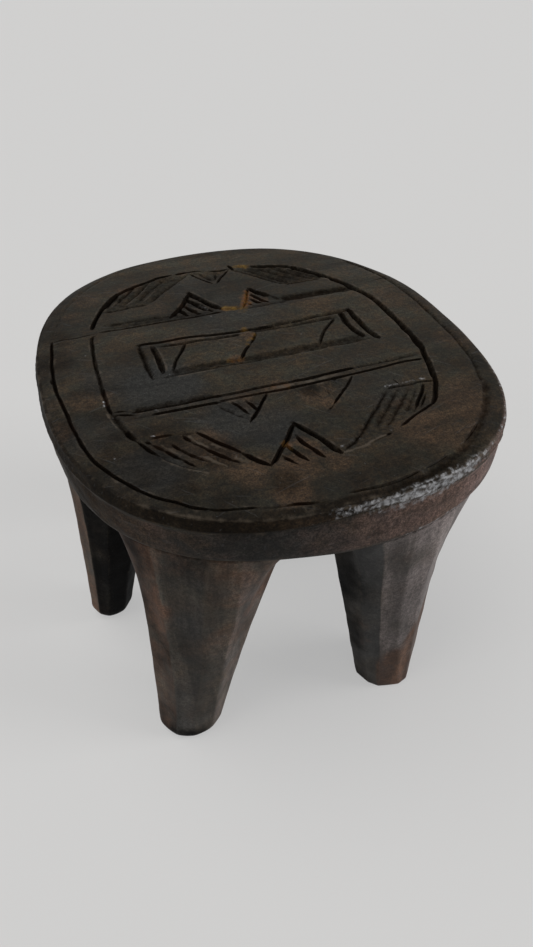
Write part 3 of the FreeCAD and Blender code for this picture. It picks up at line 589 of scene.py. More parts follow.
# the columns of a table by angle, each averaged over some degrees on both sides
def smoothed(table, spread, angle):
    angles, *columns = np.array(table).T
    turns = (-spread, -spread / 2, 0, spread / 2, spread)
    degrees = np.degrees(angle)
    return [sum(np.interp(degrees + turn, angles, column, period=360) for turn in turns) / len(turns)
            for column in columns]


# the lip's edge at each angle: inset and drop
def edgeAt(angle):
    return smoothed(seat["lipEdge"], 8, angle)


# how far the band hangs below the underside at each angle
def hangAt(angle):
    return smoothed(seat["bandHang"], 4, angle)[0]


# inset from the widest line, by place
def insetOf(x, y):
    fromRim = x - seat["rim"]["middle"]
    angle = np.arctan2(y, fromRim)
    return reachOf("rim", angle) - np.hypot(fromRim, y), angle


# how far the top has fallen between the shoulder and the lip's edge
def slopeFall(inset, angle):
    shoulder = reachOf("rim", angle) - reachOf("shoulder", angle)
    edgeInset, edgeDrop = edgeAt(angle)
    share = np.clip((shoulder - inset) / (shoulder - edgeInset), 0, 1.2)
    return edgeDrop * share ** 1.5


# the top's slight waves and dents
def unevenTop(x, y):
    dented = 0.5 + 0.5 * np.clip(bumps(9, 8, x, y) * bumps(30, 9, x, y), -1, 1)
    return seat["waviness"] * swells(58, 7, x, y) + seat["dents"] * dented


# one cut of the carving, laid out along its line with uneven hand pressure
def layStroke(kind, width, depth, points, seed):
    shape = seat["cutKinds"][kind]
    middle, along = throughPoints(points, seat["strokeStep"])
    wander = bumps(26, seed, along) * min(seat["knife"]["mostWander"], seat["knife"]["wander"] * width)
    heading = np.gradient(middle, axis=0)
    heading /= np.linalg.norm(heading, axis=1)[:, None]
    side = np.column_stack([-heading[:, 1], heading[:, 0]])
    middle = middle + side * wander[:, None]
    taper = min(shape["taper"], along[-1] * seat["knife"]["mostTaper"])
    toEnd = np.minimum(along, along[-1] - along)
    share = shape["ends"] + (1 - shape["ends"]) * easeBetween(toEnd, -0.2, taper)
    narrowed = seat["knife"]["endWidth"] + (1 - seat["knife"]["endWidth"]) * share
    half = 0.5 * width * narrowed * (1 + seat["knife"]["widthWaver"] * bumps(20, seed + 1, along))
    deep = depth * share * (1 + seat["knife"]["depthWaver"] * bumps(14, seed + 2, along))
    lean = seat["knife"]["lean"] * bumps(60, seed + 3, along)
    return dict(shape, middle=middle, side=side, half=half, deep=deep, lean=lean)


strokes = []
for groupNumber, group in enumerate(seat["carving"].values()):
    for strokeNumber, (kind, width, depth, points) in enumerate(group):
        strokes.append(layStroke(kind, width, depth, points, 1000 * groupNumber + 10 * strokeNumber))
print("stool:", len(strokes), "carved cuts laid out")


# depth below the surface and closeness to the cut's edge, at each place near one cut
def strokeAt(stroke, places):
    middle = stroke["middle"]
    reach = stroke["half"].max() + seat["cutWear"]["reach"]
    low, high = middle.min(0) - reach, middle.max(0) + reach
    near = np.nonzero(((places > low) & (places < high)).all(1))[0]
    if len(near) == 0:
        return near, None, None, None
    start = middle[:-1]
    span = middle[1:] - start
    apart = places[near][:, None, :] - start[None]
    share = np.clip((apart * span).sum(2) / (span ** 2).sum(1), 0, 1)
    gap = apart - share[:, :, None] * span
    far = (gap ** 2).sum(2)
    best = far.argmin(1)
    rows = np.arange(len(near))
    share = share[rows, best]
    gap = gap[rows, best]
    span = span[best]
    side = np.sign(span[:, 0] * gap[:, 1] - span[:, 1] * gap[:, 0])

    def blendEnds(values):
        return values[best] * (1 - share) + values[best + 1] * share

    half = blendEnds(stroke["half"])
    deep = blendEnds(stroke["deep"])
    across = np.sqrt(far[rows, best]) * side / half
    inward = 1 - np.abs(across)
    if stroke["section"] == "vee":
        lean = blendEnds(stroke["lean"])
        wall = np.where(across > lean, (1 - across) / (1 - lean), (1 + across) / (1 + lean))
        cut = deep * np.clip(wall, 0, 1)
        lipWear = bell(-inward * half, seat["cutWear"]["lipAt"], seat["cutWear"]["lipWidth"])
        lipWear = lipWear * np.clip(deep / seat["cutWear"]["wornFrom"], 0, 1)
        thin = np.clip(1.5 / half - 0.6, 0, 0.5)  # a narrow cut is dark all the way across
        dark = easeBetween(inward + thin, -0.05, stroke["core"])
        dark = dark * np.clip(deep / seat["cutWear"]["veeDarkFrom"], 0, 1)
    else:
        cut = deep * 0.5 * (1 + np.cos(math.pi * np.clip(across, -1, 1)))
        lipWear = 0 * deep
        dark = easeBetween(inward, 0.0, stroke["core"])
        dark = dark * np.clip(deep / seat["cutWear"]["bowlDarkFrom"], 0.35, 1)
    return near, cut, lipWear, dark * stroke["dark"]


# closeness to a ridge's line: 1 on it, 0 half a width away
def ridgeAt(width, points, places):
    middle = throughPoints(points, seat["strokeStep"])[0]
    far = np.full(len(places), 1e9)
    for start, end in zip(middle[:-1], middle[1:]):
        span = end - start
        share = np.clip(((places - start) @ span) / (span @ span), 0, 1)
        far = np.minimum(far, np.hypot(*(places - start - share[:, None] * span).T))
    wear = seat["topWear"]
    return 1 - easeBetween(far, wear["ridgeCore"] * width, wear["ridgeBorder"] * width)


# distance inside a hollow's edges, negative outside; corners may run either way round
def insideBy(corners, places):
    corners = np.array(corners, float)
    following = np.roll(corners, -1, axis=0)
    turn = np.sum(corners[:, 0] * following[:, 1] - corners[:, 1] * following[:, 0])
    closest = np.full(len(places), 1e9)
    for a, b in zip(corners, following):
        span = b - a
        off = span[0] * (places[:, 1] - a[1]) - span[1] * (places[:, 0] - a[0])
        closest = np.minimum(closest, np.sign(turn) * off / np.linalg.norm(span))
    return closest


# a chip's depth, level on each side of its three corners
def chipAt(corners, places):
    (ax, ay, ad), (bx, by, bd), (cx, cy, cd) = corners
    whole = (bx - ax) * (cy - ay) - (by - ay) * (cx - ax)
    x, y = places[:, 0], places[:, 1]
    shareB = ((x - ax) * (cy - ay) - (y - ay) * (cx - ax)) / whole
    shareC = ((bx - ax) * (y - ay) - (by - ay) * (x - ax)) / whole
    shareA = 1 - shareB - shareC
    inside = np.minimum(np.minimum(shareA, shareB), shareC)
    return np.where(inside > 0, ad * shareA + bd * shareB + cd * shareC, 0)


# the seat's upper face: height below the top, and the masks for its material
def upperFace(places):
    x, y = places.T
    nothing = np.zeros(len(places))
    depths = {"vee": nothing.copy(), "bowl": nothing.copy()}
    edge, grime, worn, shade = (nothing.copy() for number in range(4))
    for stroke in strokes:
        near, cut, lipWear, dark = strokeAt(stroke, places)
        if cut is None:
            continue
        carved = depths[stroke["section"]]
        carved[near] = np.maximum(carved[near], cut)
        grime[near] = np.maximum(grime[near], dark)
        edge[near] = np.maximum(edge[near], lipWear)
    for depth, slope, dark, corners in seat["hollows"].values():
        inside = easeBetween(insideBy(corners, places), -0.3 * slope, slope)
        worn = np.maximum(worn, depth * inside)
        shade = np.maximum(shade, dark * inside)
    for corners in seat["chips"].values():
        worn = np.maximum(worn, chipAt(corners, places))
    inset, angle = insetOf(x, y)
    shoulder = reachOf("rim", angle) - reachOf("shoulder", angle)
    wear = seat["topWear"]
    rough = worn * wear["roughFloor"] * bumps(6, 10, x, y)
    fall = slopeFall(inset, angle) + unevenTop(x, y) + depths["vee"] + depths["bowl"]
    fall = fall + np.maximum(worn + rough, 0) + seat["edgeWear"] * edge * (depths["vee"] < 0.3)
    toEdge = 1 - easeBetween(inset, *seat["edgeStrip"])
    degrees = np.degrees(angle)

    def rimTone(name):
        strength, middle, spread = seat["rimTones"][name]
        return strength * bell(degrees, middle, spread)

    # the soot on the slope is cleared on the lit right side, which stands for painted light
    slopeSoot = (seat["rimTones"]["soot"] + rimTone("frontSoot")) * (1 - rimTone("clearedSoot"))
    slopeSoot = slopeSoot * easeBetween(shoulder - inset, 0.0, 3.0)
    ridgeMasks = {"edge": nothing, "pale": nothing}
    for mask, width, strength, points in seat["ridges"]:
        ridgeMasks[mask] = np.maximum(ridgeMasks[mask], strength * ridgeAt(width, points, places))
    grime = grime * (1 - wear["ridgeCleared"] * np.maximum(ridgeMasks["edge"], ridgeMasks["pale"]))
    masks = {name: spotted(x, y, spots) for name, spots in seat["stains"].items()}
    # the dark in the cuts is grime and painted shade; the hollows add their darkening
    masks["cut"] = 1 - (1 - np.clip(grime, 0, 1)) * (1 - shade)
    paleLips = wear["lips"] * edge * (1 - grime) + wear["strip"] * toEdge
    masks["edge"] = np.maximum(paleLips, ridgeMasks["edge"])
    masks["pale"] = np.maximum(masks["pale"], ridgeMasks["pale"])
    # a painted highlight on the strip above the broken lip
    masks["pale"] = np.maximum(masks["pale"], toEdge * rimTone("pale"))
    # painted light on the strip on the lit right side
    masks["dusty"] = toEdge * rimTone("dusty")
    masks["rust"] *= 1 - wear["rustCovered"] * grime
    masks["soot"] = np.maximum(slopeSoot, masks["soot"])
    return np.maximum(fall, 0), masks


# evenly spaced columns round the rim
manyAngles = np.linspace(-math.pi, math.pi, 6001)
manyReach = reachOf("rim", manyAngles)
rimLine = np.column_stack([manyReach * np.cos(manyAngles), manyReach * np.sin(manyAngles)])
rimRun = np.concatenate([[0], np.cumsum(np.linalg.norm(np.diff(rimLine, axis=0), axis=1))])
evenRun = np.linspace(0, rimRun[-1], seat["columns"], endpoint=False)
columnAngles = np.interp(evenRun, rimRun, manyAngles)


def placeAt(reach):
    return np.column_stack([seat["rim"]["middle"] + reach * np.cos(columnAngles),
                            reach * np.sin(columnAngles)])


# how far inside a line given by its reach at each column
def toLine(x, y, line):
    fromRim = x - seat["rim"]["middle"]
    limit = np.interp(np.arctan2(y, fromRim), columnAngles, line, period=2 * math.pi)
    return limit - np.hypot(fromRim, y)


# six-sided spacing over the seat, a little uneven, kept clear of what is already placed
def fillPlaces(pitch, edgeLine, taken, clear, seed, jitter=0.16, rowShare=0.866, halfField=200):
    draws = np.random.default_rng(seed)
    rows = np.arange(*seat["gridAlong"], pitch * rowShare)
    columns = np.arange(*seat["gridAcross"], pitch)
    x, y = np.meshgrid(columns, rows)
    x = x + (np.arange(len(rows)) % 2)[:, None] * pitch * 0.5
    x = (x + draws.uniform(-jitter, jitter, x.shape) * pitch).ravel()
    y = (y + draws.uniform(-jitter, jitter, y.shape) * pitch).ravel()
    keep = toLine(x, y, edgeLine) > 0.7 * pitch
    x, y = x[keep], y[keep]
    cell = clear * 0.75

    def cellsOf(values):
        return ((values + halfField) / cell).astype(int)

    grid = np.zeros((int(2 * halfField / cell), int(2 * halfField / cell)), bool)
    across, along = cellsOf(taken[:, 0]), cellsOf(taken[:, 1])
    for stepX in (-1, 0, 1):
        for stepY in (-1, 0, 1):
            grid[across + stepX, along + stepY] = True
    free = ~grid[cellsOf(x), cellsOf(y)]
    return np.column_stack([x[free], y[free]])


# guide lines along every cut, so that the mesh has edges at its lips and along its bottom
def guideLines():
    guides = seat["guides"]
    lines = []
    for stroke in strokes:
        middle, side = stroke["middle"], stroke["side"]
        half, lean = stroke["half"][:, None], stroke["lean"][:, None]
        if stroke["section"] == "vee":
            beside = half + guides["beside"]
            offsets = [-beside, -half, half * lean, half, beside]
            if half.max() > guides["wideFrom"]:
                offsets += [-guides["wall"] * half, guides["wall"] * half]
            for offset in offsets:
                lines.append(middle + side * offset)
        else:
            lines.append(middle)
    lines.extend(throughPoints(ridge[-1], seat["strokeStep"])[0] for ridge in seat["ridges"])
    return lines


# flat mesh of the places inside an edge loop
def spanPlaces(loop, lines, filling):
    places = [tuple(place) for place in loop]
    count = len(loop)
    edges = [(number, (number + 1) % count) for number in range(count)]
    for line in lines:
        first = len(places)
        places.extend(tuple(place) for place in line)
        edges.extend((first + number, first + number + 1) for number in range(len(line) - 1))
    places.extend(tuple(place) for place in filling)
    mesh = delaunay_2d_cdt([Vector(place) for place in places], edges, [], 1, 1e-3, True)
    flat, faces, origins = mesh[0], mesh[2], mesh[3]
    onLoop = [-1] * count
    for number, sources in enumerate(origins):
        for source in sources:
            if source < count:
                onLoop[source] = number
    flat = np.array([tuple(place) for place in flat])
    return flat, [tuple(face) for face in faces], onLoop


# rows from the top's edge over the lip and down the side: inset, height below the top, and how
# much further down the hanging edge takes them
def sideProfile(edgeInset, edgeDrop, stepDepth):
    rows = []
    for further, below in seat["slopeRows"]:
        inset = edgeInset + further
        rows.append((inset, slopeFall(inset, columnAngles) + below, 0 * edgeInset))
    for further, below in seat["edgeRows"]:
        rows.append((edgeInset + further, edgeDrop + below, 0 * edgeInset))
    for share, down in seat["lipFace"]:
        rows.append((share * edgeInset, edgeDrop + down * (seat["lipDrop"] - edgeDrop), 0 * edgeInset))
    bandHeight = seat["top"] - seat["underside"] - seat["bandFrom"]
    for inset, below in seat["sideRows"]:
        sunk = 1 + (stepDepth - 1) * math.exp(-((below - seat["stepAt"]) / seat["stepWidth"]) ** 2)
        share = max(0.0, (below - seat["bandFrom"]) / bandHeight)
        rows.append((inset * sunk, below + 0 * edgeInset, hangAt(columnAngles) * share))
    return rows


# the scoops broken out of the lip at one row: their depth and their broken borders
def brokenLip(degrees, below):
    scoop = 0 * degrees
    border = 0 * degrees
    for angle, height, halfAngle, halfHeight, depth in seat["lipScoops"]:
        turned = (degrees - angle + 180) % 360 - 180
        near = (turned / halfAngle) ** 2 + ((below - height) / halfHeight) ** 2
        scoop = np.maximum(scoop, depth * np.clip(1 - near, 0, 1) ** 0.6)
        border = np.maximum(border, bell(near, 1.0, 0.45) * min(1.0, depth))
    return scoop, border


# the masks of one row of the side
def sideMasks(place, degrees, below, edgeDrop, stepDepth, scoopZone, border):
    x, y = place.T
    zones = {"band": within(below, *seat["sideZones"]["band"])}
    start, fullFrom, fullTo, end = seat["sideZones"]["face"]
    zones["face"] = within(below, edgeDrop + start, edgeDrop + fullFrom, fullTo, end)
    for name, (height, width) in seat["sideLines"].items():
        zones[name] = bell(below - edgeDrop if name == "edge" else below, height, width)

    def cleared(name):
        share, middle, spread = seat["sideCleared"][name]
        return 1 - share * bellTurn(degrees, middle, spread)

    tones = seat["sideTones"]
    # the broken lip's pale face and edge: worn wood under a painted highlight
    broken = within(degrees, *seat["brokenTurns"])
    flecked = 0.74 + 0.26 * np.clip(bumps(8, 35, x, y, 3.0 * below), -1, 1)
    lowLip = zones["face"] * easeBetween(below, 9.0, 10.4) * cleared("lowLip")
    paleAndHighlightFace = tones["broken"] * (zones["face"] - lowLip) + tones["brokenEdge"] * zones["edge"]
    # dust with painted light on the band near the highlight
    dust = tones["dust"] * bellTurn(degrees, *tones["dustAround"]) * cleared("dust")
    soot = tones["soot"] * (1 - easeBetween(below, 9, 12))
    soot = soot * (1 - tones["sootOffBroken"] * broken * zones["face"])
    worn = tones["edge"] * zones["edge"] + tones["foot"] * zones["foot"]
    masks = {
        # painted shade in the step's crease under the lip
        "cut": tones["step"] * zones["step"] * np.clip(stepDepth, 0, 1.3) * cleared("step"),
        "edge": worn + tones["scoopBorder"] * border * scoopZone,
        "pale": broken * flecked * paleAndHighlightFace,
        "dusty": dust * (zones["band"] + lowLip),
        "ochre": 0 * degrees,
        "rust": spotted(x, y, seat["stains"]["rust"]) * (1 - easeBetween(below, 3, 8)),
        "grey": 0 * degrees,
        # soot, cleared in front for the brown wood and on the lit right side as painted light
        "soot": soot * (cleared("sootLeft") * cleared("sootRight")),
    }
    for mask, zone, strength, middle, spread in seat["sideStains"]:
        masks[mask] = masks[mask] + strength * bellTurn(degrees, middle, spread) * zones[zone]
    return masks


# the underside's adze scoops
def undersideHollows(x, y):
    draws = np.random.default_rng(42)
    scoops = seat["underScoops"]
    across, along = scoops["strayAcross"], scoops["strayAlong"]
    hitX, hitY = np.meshgrid(np.arange(*seat["gridAcross"], scoops["acrossStep"]),
                             np.arange(*seat["gridAlong"], scoops["alongStep"]))
    shifted = (np.arange(len(hitX)) % 2)[:, None] * scoops["acrossStep"] / 2
    hitX = (hitX + shifted + draws.uniform(-across, across, hitX.shape)).ravel()
    hitY = (hitY + draws.uniform(-along, along, hitY.shape)).ravel()
    nearest = ((x[:, None] - hitX) / scoops["halfWidth"]) ** 2
    nearest = (nearest + ((y[:, None] - hitY) / scoops["halfLength"]) ** 2).min(1)
    inset, angle = insetOf(x, y)
    hollow = scoops["depth"] * np.clip(1 - nearest, 0, 1) * easeBetween(inset, 10.0, 18.0)
    return hollow - hangAt(angle) * (1 - easeBetween(inset, 8.0, 60.0))


def makeSeat():
    rimHalf = reachOf("rim", columnAngles)
    degrees = np.degrees(columnAngles)
    edgeInset, edgeDrop = edgeAt(columnAngles)
    edgeReach = rimHalf - edgeInset - seat["topMargin"]
    loop = placeAt(edgeReach)
    lines = [line for line in guideLines() if (toLine(*line.T, edgeReach) > 1.0).all()]
    filling = fillPlaces(seat["pitch"], edgeReach, np.vstack(lines + [loop]), clear=0.95, seed=21)
    flat, faces, onLoop = spanPlaces(loop, lines, filling)
    fall, masks = upperFace(flat)
    points = [np.column_stack([flat, seat["top"] - fall])]
    maskRows = {name: [values] for name, values in masks.items()}
    total = len(flat)
    ring = np.array(onLoop)

    # the side, row by row
    step, waves = seat["stepDepth"], seat["sideWaves"]
    stepDepth = step["usual"] + step["varies"] * np.clip(bumps(0.9, 31, columnAngles), -1, 1)
    stepDepth = stepDepth + step["deeper"] * bellTurn(degrees, *step["around"])
    for inset, below, lower in sideProfile(edgeInset, edgeDrop, stepDepth):
        place = placeAt(rimHalf - inset)
        x, y = place.T
        settle = 1 - easeBetween(below, 3.0, 10.0)
        hewn = 0
        for zone, (depth, length, seed, squeeze) in seat["hewn"].items():
            marked = depth * within(below, *seat["sideZones"][zone])
            hewn = hewn + marked * swells(length, seed, x, y, squeeze * below)
        uneven = waves["depth"] * swells(waves["length"], 34, x, y) * easeBetween(below, *waves["from"])
        scoop, border = brokenLip(degrees, below)
        scoopZone = within(below, *seat["sideZones"]["scoops"])
        z = seat["top"] - below - lower - unevenTop(x, y) * settle
        reach = rimHalf - inset - hewn - uneven - scoop * scoopZone
        points.append(np.column_stack([placeAt(reach), z]))
        rowMasks = sideMasks(place, degrees, below, edgeDrop, stepDepth, scoopZone, border)
        for name, values in rowMasks.items():
            maskRows[name].append(values)
        fresh = total + np.arange(len(degrees))
        following, ringNext = np.roll(fresh, -1), np.roll(ring, -1)
        faces.extend(zip(ring.tolist(), fresh.tolist(), following.tolist(), ringNext.tolist()))
        ring = fresh
        total += len(fresh)

    # the underside closes the mesh
    lastPlace = points[-1][:, :2]
    lastReach = rimHalf - seat["sideRows"][-1][0]
    filling = fillPlaces(seat["underPitch"], lastReach - 1.0, lastPlace, clear=2.0, seed=41)
    flatUnder, underFaces, underLoop = spanPlaces(lastPlace, [], filling)
    isLoop = np.zeros(len(flatUnder), bool)
    isLoop[underLoop] = True
    inner = np.nonzero(~isLoop)[0]
    renumber = np.zeros(len(flatUnder), int)
    renumber[underLoop] = ring
    renumber[inner] = total + np.arange(len(inner))
    x, y = flatUnder[inner].T
    points.append(np.column_stack([x, y, seat["underside"] + undersideHollows(x, y)]))
    faces.extend(tuple(int(renumber[corner]) for corner in reversed(face)) for face in underFaces)
    for name, rows in maskRows.items():
        rows.append(np.full(len(inner), seat["underMasks"].get(name, 0.0)))
    masks = {name: np.concatenate(rows) for name, rows in maskRows.items()}
    return makePiece("carved_seat", np.vstack(points), faces, masks, seat["sharpAngle"])


carvedSeat = makeSeat()
print("stool: seat made,", len(carvedSeat.data.polygons), "faces")


# the legs; an edge's drift is in degrees, over a length in mm, with its own seed, the wear and the
# shade are each a strength and a width, and the patchiness of each tone has strength, length, seed
legShape = {
    "rows": 116,
    "facetColumns": 11,
    "soleRows": (0.0, 0.15, 0.5, 1.1, 2.0, 3.2, 4.6),
    "bodyFrom": 6.2,
    "headDepth": 1.2,
    "bulge": 0.08,
    "footTo": 20.0,
    "headBulge": 0.5,
    "headFrom": 196.0,
    "meetFrom": 150.0,
    "meetInset": 3.9,
    "meetReach": (10.0, 22.0),
    "headTuck": 0.8,
    "spreadFrom": 105.0,
    "drift": ((0.9, 150, 0), (0.5, 40, 3)),
    "scoopDepth": 0.32,
    "scoopLength": (46, 4.5),
    "soleCurl": 0.7,
    "meetFacing": (0.2, 0.7),
    "tuckOver": (0.5, 3.0),
    "cornerWear": (0.38, 0.07),
    "soleWear": (0.45, 4),
    "seatShade": (0.5, 1.2),
    "patchiness": {"dusty": (0.2, 30, 6), "rust": (0.14, 50, 2), "grey": (0.2, 60, 4),
                   "soot": (0.12, 50, 5)},
    "endMasks": {"edge": 0.1, "cut": 0.3},
    "blunting": 0.3,
    "bluntWidth": 0.05,
    "roughness": 0.1,
    "soleHollow": 0.3,
    "rings": (0.8, 0.55, 0.3, 0.12),
    "sharpAngle": 24,
}

# head and foot middles, head half sizes outward and sideways, foot half sizes likewise, facing,
# how far and which way the head spreads, the directions of the edges between facets at foot and
# at head, how far each edge bends aside halfway, and each facet's tones: soot with painted shade,
# rust, grey, and dust with painted light
legs = {
    "left_leg": {
        "head": (-116, -2.7), "foot": (-147.3, 7.4), "out": 41, "side": 40, "sole": (18.8, 20.2),
        "facing": 180, "flare": 1.15, "spread": (0, 180), "seed": 51, "footBulge": 0.7,
        "soleRound": 13.0, "atFoot": (-166, -133, -104, -62, -20, 16, 57, 92, 127, 160),
        "atHead": (-172, -150, -104, -64, -24, 14, 52, 90, 127, 162),
        "bends": (3, 4, 0, 3, -2, 0, 2, -3, 0, 2),
        # the facets turned to the front and in under the seat are dark with soot and painted shade
        "tones": ((0, 0.5, 0, 0), (0.86, 0, 0.2, 0), (1, 0, 0, 0), (1, 0, 0, 0), (0.9, 0, 0, 0),
                  (0.7, 0.1, 0.2, 0), (0.4, 0.2, 0.4, 0), (0.2, 0.2, 0.4, 0), (0.1, 0.4, 0.2, 0.1),
                  (0, 0.6, 0, 0.1))},
    "front_left_leg": {
        "head": (-75.0, -126.4), "foot": (-104.1, -127.5), "out": 42, "side": 52.5,
        "sole": (26.8, 26.8), "facing": -122, "flare": 1.15, "spread": (3.4, -42), "seed": 62,
        "footBulge": 0.7,
        "soleRound": 10.0, "atFoot": (-166, -126, -95, -64, -35, 2, 40, 78, 116, 152),
        "atHead": (-190, -157, -103, -76, -36, 2, 40, 78, 112, 146),
        "bends": (0, 3, 0, 0, 2, -3, 0, 2, 0, -2),
        "tones": ((0.42, 0.6, 0, 0), (0.13, 0.08, 0.4, 0.12), (0, 0.07, 0.1, 0.12), (0, 0.3, 0, 0.27),
                  (0.05, 0.2, 0.1, 0.15), (0.3, 0.2, 0.4, 0), (0.5, 0.1, 0.3, 0), (0.4, 0.2, 0.3, 0),
                  (0.2, 0.3, 0.3, 0), (0.1, 0.3, 0.2, 0.1))},
    "front_right_leg": {
        "head": (48.4, -134.3), "foot": (67.2, -137.7), "out": 43, "side": 50, "sole": (26.6, 25.2),
        "facing": -73, "flare": 1.0, "spread": (6.5, -36), "seed": 73, "footBulge": 0.1,
        "soleRound": 5.0, "atFoot": (-170, -141, -121, -80, -61, -20, 16, 52, 90, 134),
        "atHead": (-168, -140, -118, -86, -59, -22, 14, 50, 92, 140),
        "bends": (0, 1, 3, -10, -3, -3, 0, 2, 0, -2),
        # the facets turned to the right get painted light in their dusty tone; the left side's painted
        # shade is laid on with its stains
        "tones": ((0.12, 0, 0.5, 0), (0.08, 0, 0.75, 0.04), (0, 0.1, 0.1, 0.62), (0, 0.05, 0.2, 0.85),
                  (0, 0, 0.2, 1.1), (0.2, 0.2, 0.2, 0.1), (0.3, 0.2, 0.4, 0), (0.5, 0.1, 0.3, 0),
                  (0.6, 0.1, 0.3, 0), (0.85, 0, 0.2, 0))},
    "right_leg": {
        "head": (116, 2.7), "foot": (146.7, -5.8), "out": 41, "side": 42, "sole": (19.2, 20.4),
        "facing": 0, "flare": 1.15, "spread": (0, 0), "seed": 84, "footBulge": 0.6,
        "soleRound": 6.0, "atFoot": (-161, -127, -88, -52, -19, 16, 55, 90, 124, 163),
        "atHead": (-165, -122, -86, -55, -21, 18, 52, 88, 126, 160),
        "bends": (2, -3, 0, 3, 0, -2, 3, 0, -3, 0),
        "tones": ((0.6, 0.1, 0.2, 0), (0.4, 0.2, 0.3, 0), (0.2, 0.3, 0.1, 0.1), (0.1, 0.2, 0.3, 0.2),
                  (0, 0.4, 0, 0.2), (0.1, 0.2, 0.2, 0.1), (0.3, 0.2, 0.4, 0), (0.3, 0.4, 0.2, 0),
                  (0.5, 0.1, 0.3, 0), (0.7, 0, 0.3, 0))},
    "back_right_leg": {
        "head": (74.2, 126.0), "foot": (101.3, 127.5), "out": 42, "side": 50, "sole": (25.0, 25.0),
        "facing": 58, "flare": 1.1, "spread": (3.0, 58), "seed": 95, "footBulge": 0.5,
        "soleRound": 5.0, "atFoot": (-165, -130, -95, -57, -22, 15, 49, 84, 118, 155),
        "atHead": (-160, -126, -92, -60, -26, 10, 52, 88, 122, 158),
        "bends": (0, 3, -2, 0, 3, -3, 0, 2, 0, -2),
        "tones": ((0.6, 0.1, 0.3, 0), (0.7, 0, 0.2, 0), (0.5, 0.1, 0.2, 0), (0.3, 0.2, 0.3, 0),
                  (0.1, 0.3, 0.2, 0.1), (0.1, 0.2, 0.1, 0.2), (0, 0.4, 0.1, 0.2), (0.2, 0.2, 0.4, 0.1),
                  (0.2, 0.3, 0.3, 0), (0.4, 0.1, 0.4, 0))},
    "back_left_leg": {
        "head": (-46.4, 134.3), "foot": (-67.1, 136), "out": 43, "side": 50, "sole": (25.5, 25.5),
        "facing": 107, "flare": 1.1, "spread": (3.0, 107), "seed": 106, "footBulge": 0.6,
        "soleRound": 7.0, "atFoot": (-160, -122, -88, -50, -17, 21, 58, 93, 130, 164),
        "atHead": (-164, -126, -84, -46, -14, 24, 54, 96, 133, 166),
        "bends": (0, -3, 2, 0, -2, 0, 4, 0, -3, 2),
        "tones": ((0.5, 0.1, 0.3, 0), (0.7, 0, 0.2, 0), (0.7, 0, 0.2, 0), (0.5, 0.1, 0.3, 0),
                  (0.3, 0.3, 0.2, 0), (0.2, 0.3, 0.3, 0.1), (0.1, 0.2, 0.4, 0.1), (0, 0.4, 0.1, 0.1),
                  (0.1, 0.3, 0.3, 0.1), (0.2, 0.2, 0.4, 0))},
}


# one level of a leg: where its columns stand about the level's middle
def legLevel(leg, height):
    rising = height / seat["underside"]
    share = rising ** leg["flare"]
    out = leg["sole"][0] + (leg["out"] - leg["sole"][0]) * share
    side = leg["sole"][1] + (leg["side"] - leg["sole"][1]) * share
    facets = len(leg["atFoot"])
    level = np.array([float(height)])
    corners = []
    for number, (low, bend, high) in enumerate(zip(leg["atFoot"], leg["bends"], leg["atHead"])):
        seed = leg["seed"] + 7 * number
        drift = sum(degrees * bumps(length, seed + more, level)[0]
                    for degrees, length, more in legShape["drift"])
        bent = 4 * bend * rising * (1 - rising)
        corners.append(math.radians(low + (high - low) * rising + bent + drift))
    corners = np.array(corners)
    following = np.append(corners[1:], corners[0] + 2 * math.pi)
    turned = math.radians(leg["facing"])
    spread, spreadWay = leg["spread"]
    spreadFrom = legShape["spreadFrom"]
    spread = spread * max(0.0, (height - spreadFrom) / (seat["underside"] - spreadFrom)) ** 1.4

    def ovalReach(direction):
        local = direction - turned
        reach = ((np.cos(local) / out) ** 2 + (np.sin(local) / side) ** 2) ** -0.5
        return reach + spread * np.maximum(0, np.cos(direction - math.radians(spreadWay))) ** 2

    columns = legShape["facetColumns"]
    share = np.tile(np.arange(columns) / columns, facets)
    facet = np.repeat(np.arange(facets), columns)
    start, end = corners[facet], following[facet]
    x = np.cos(start) * ovalReach(start) * (1 - share) + np.cos(end) * ovalReach(end) * share
    y = np.sin(start) * ovalReach(start) * (1 - share) + np.sin(end) * ovalReach(end) * share
    direction, reach = np.arctan2(y, x), np.hypot(x, y)
    bulge = legShape["bulge"] + leg["footBulge"] * (1 - easeBetween(height, 0, legShape["footTo"]))
    bulge = bulge + legShape["headBulge"] * easeBetween(height, legShape["headFrom"], seat["underside"])
    return direction, reach + (ovalReach(direction) - reach) * bulge, facet, share


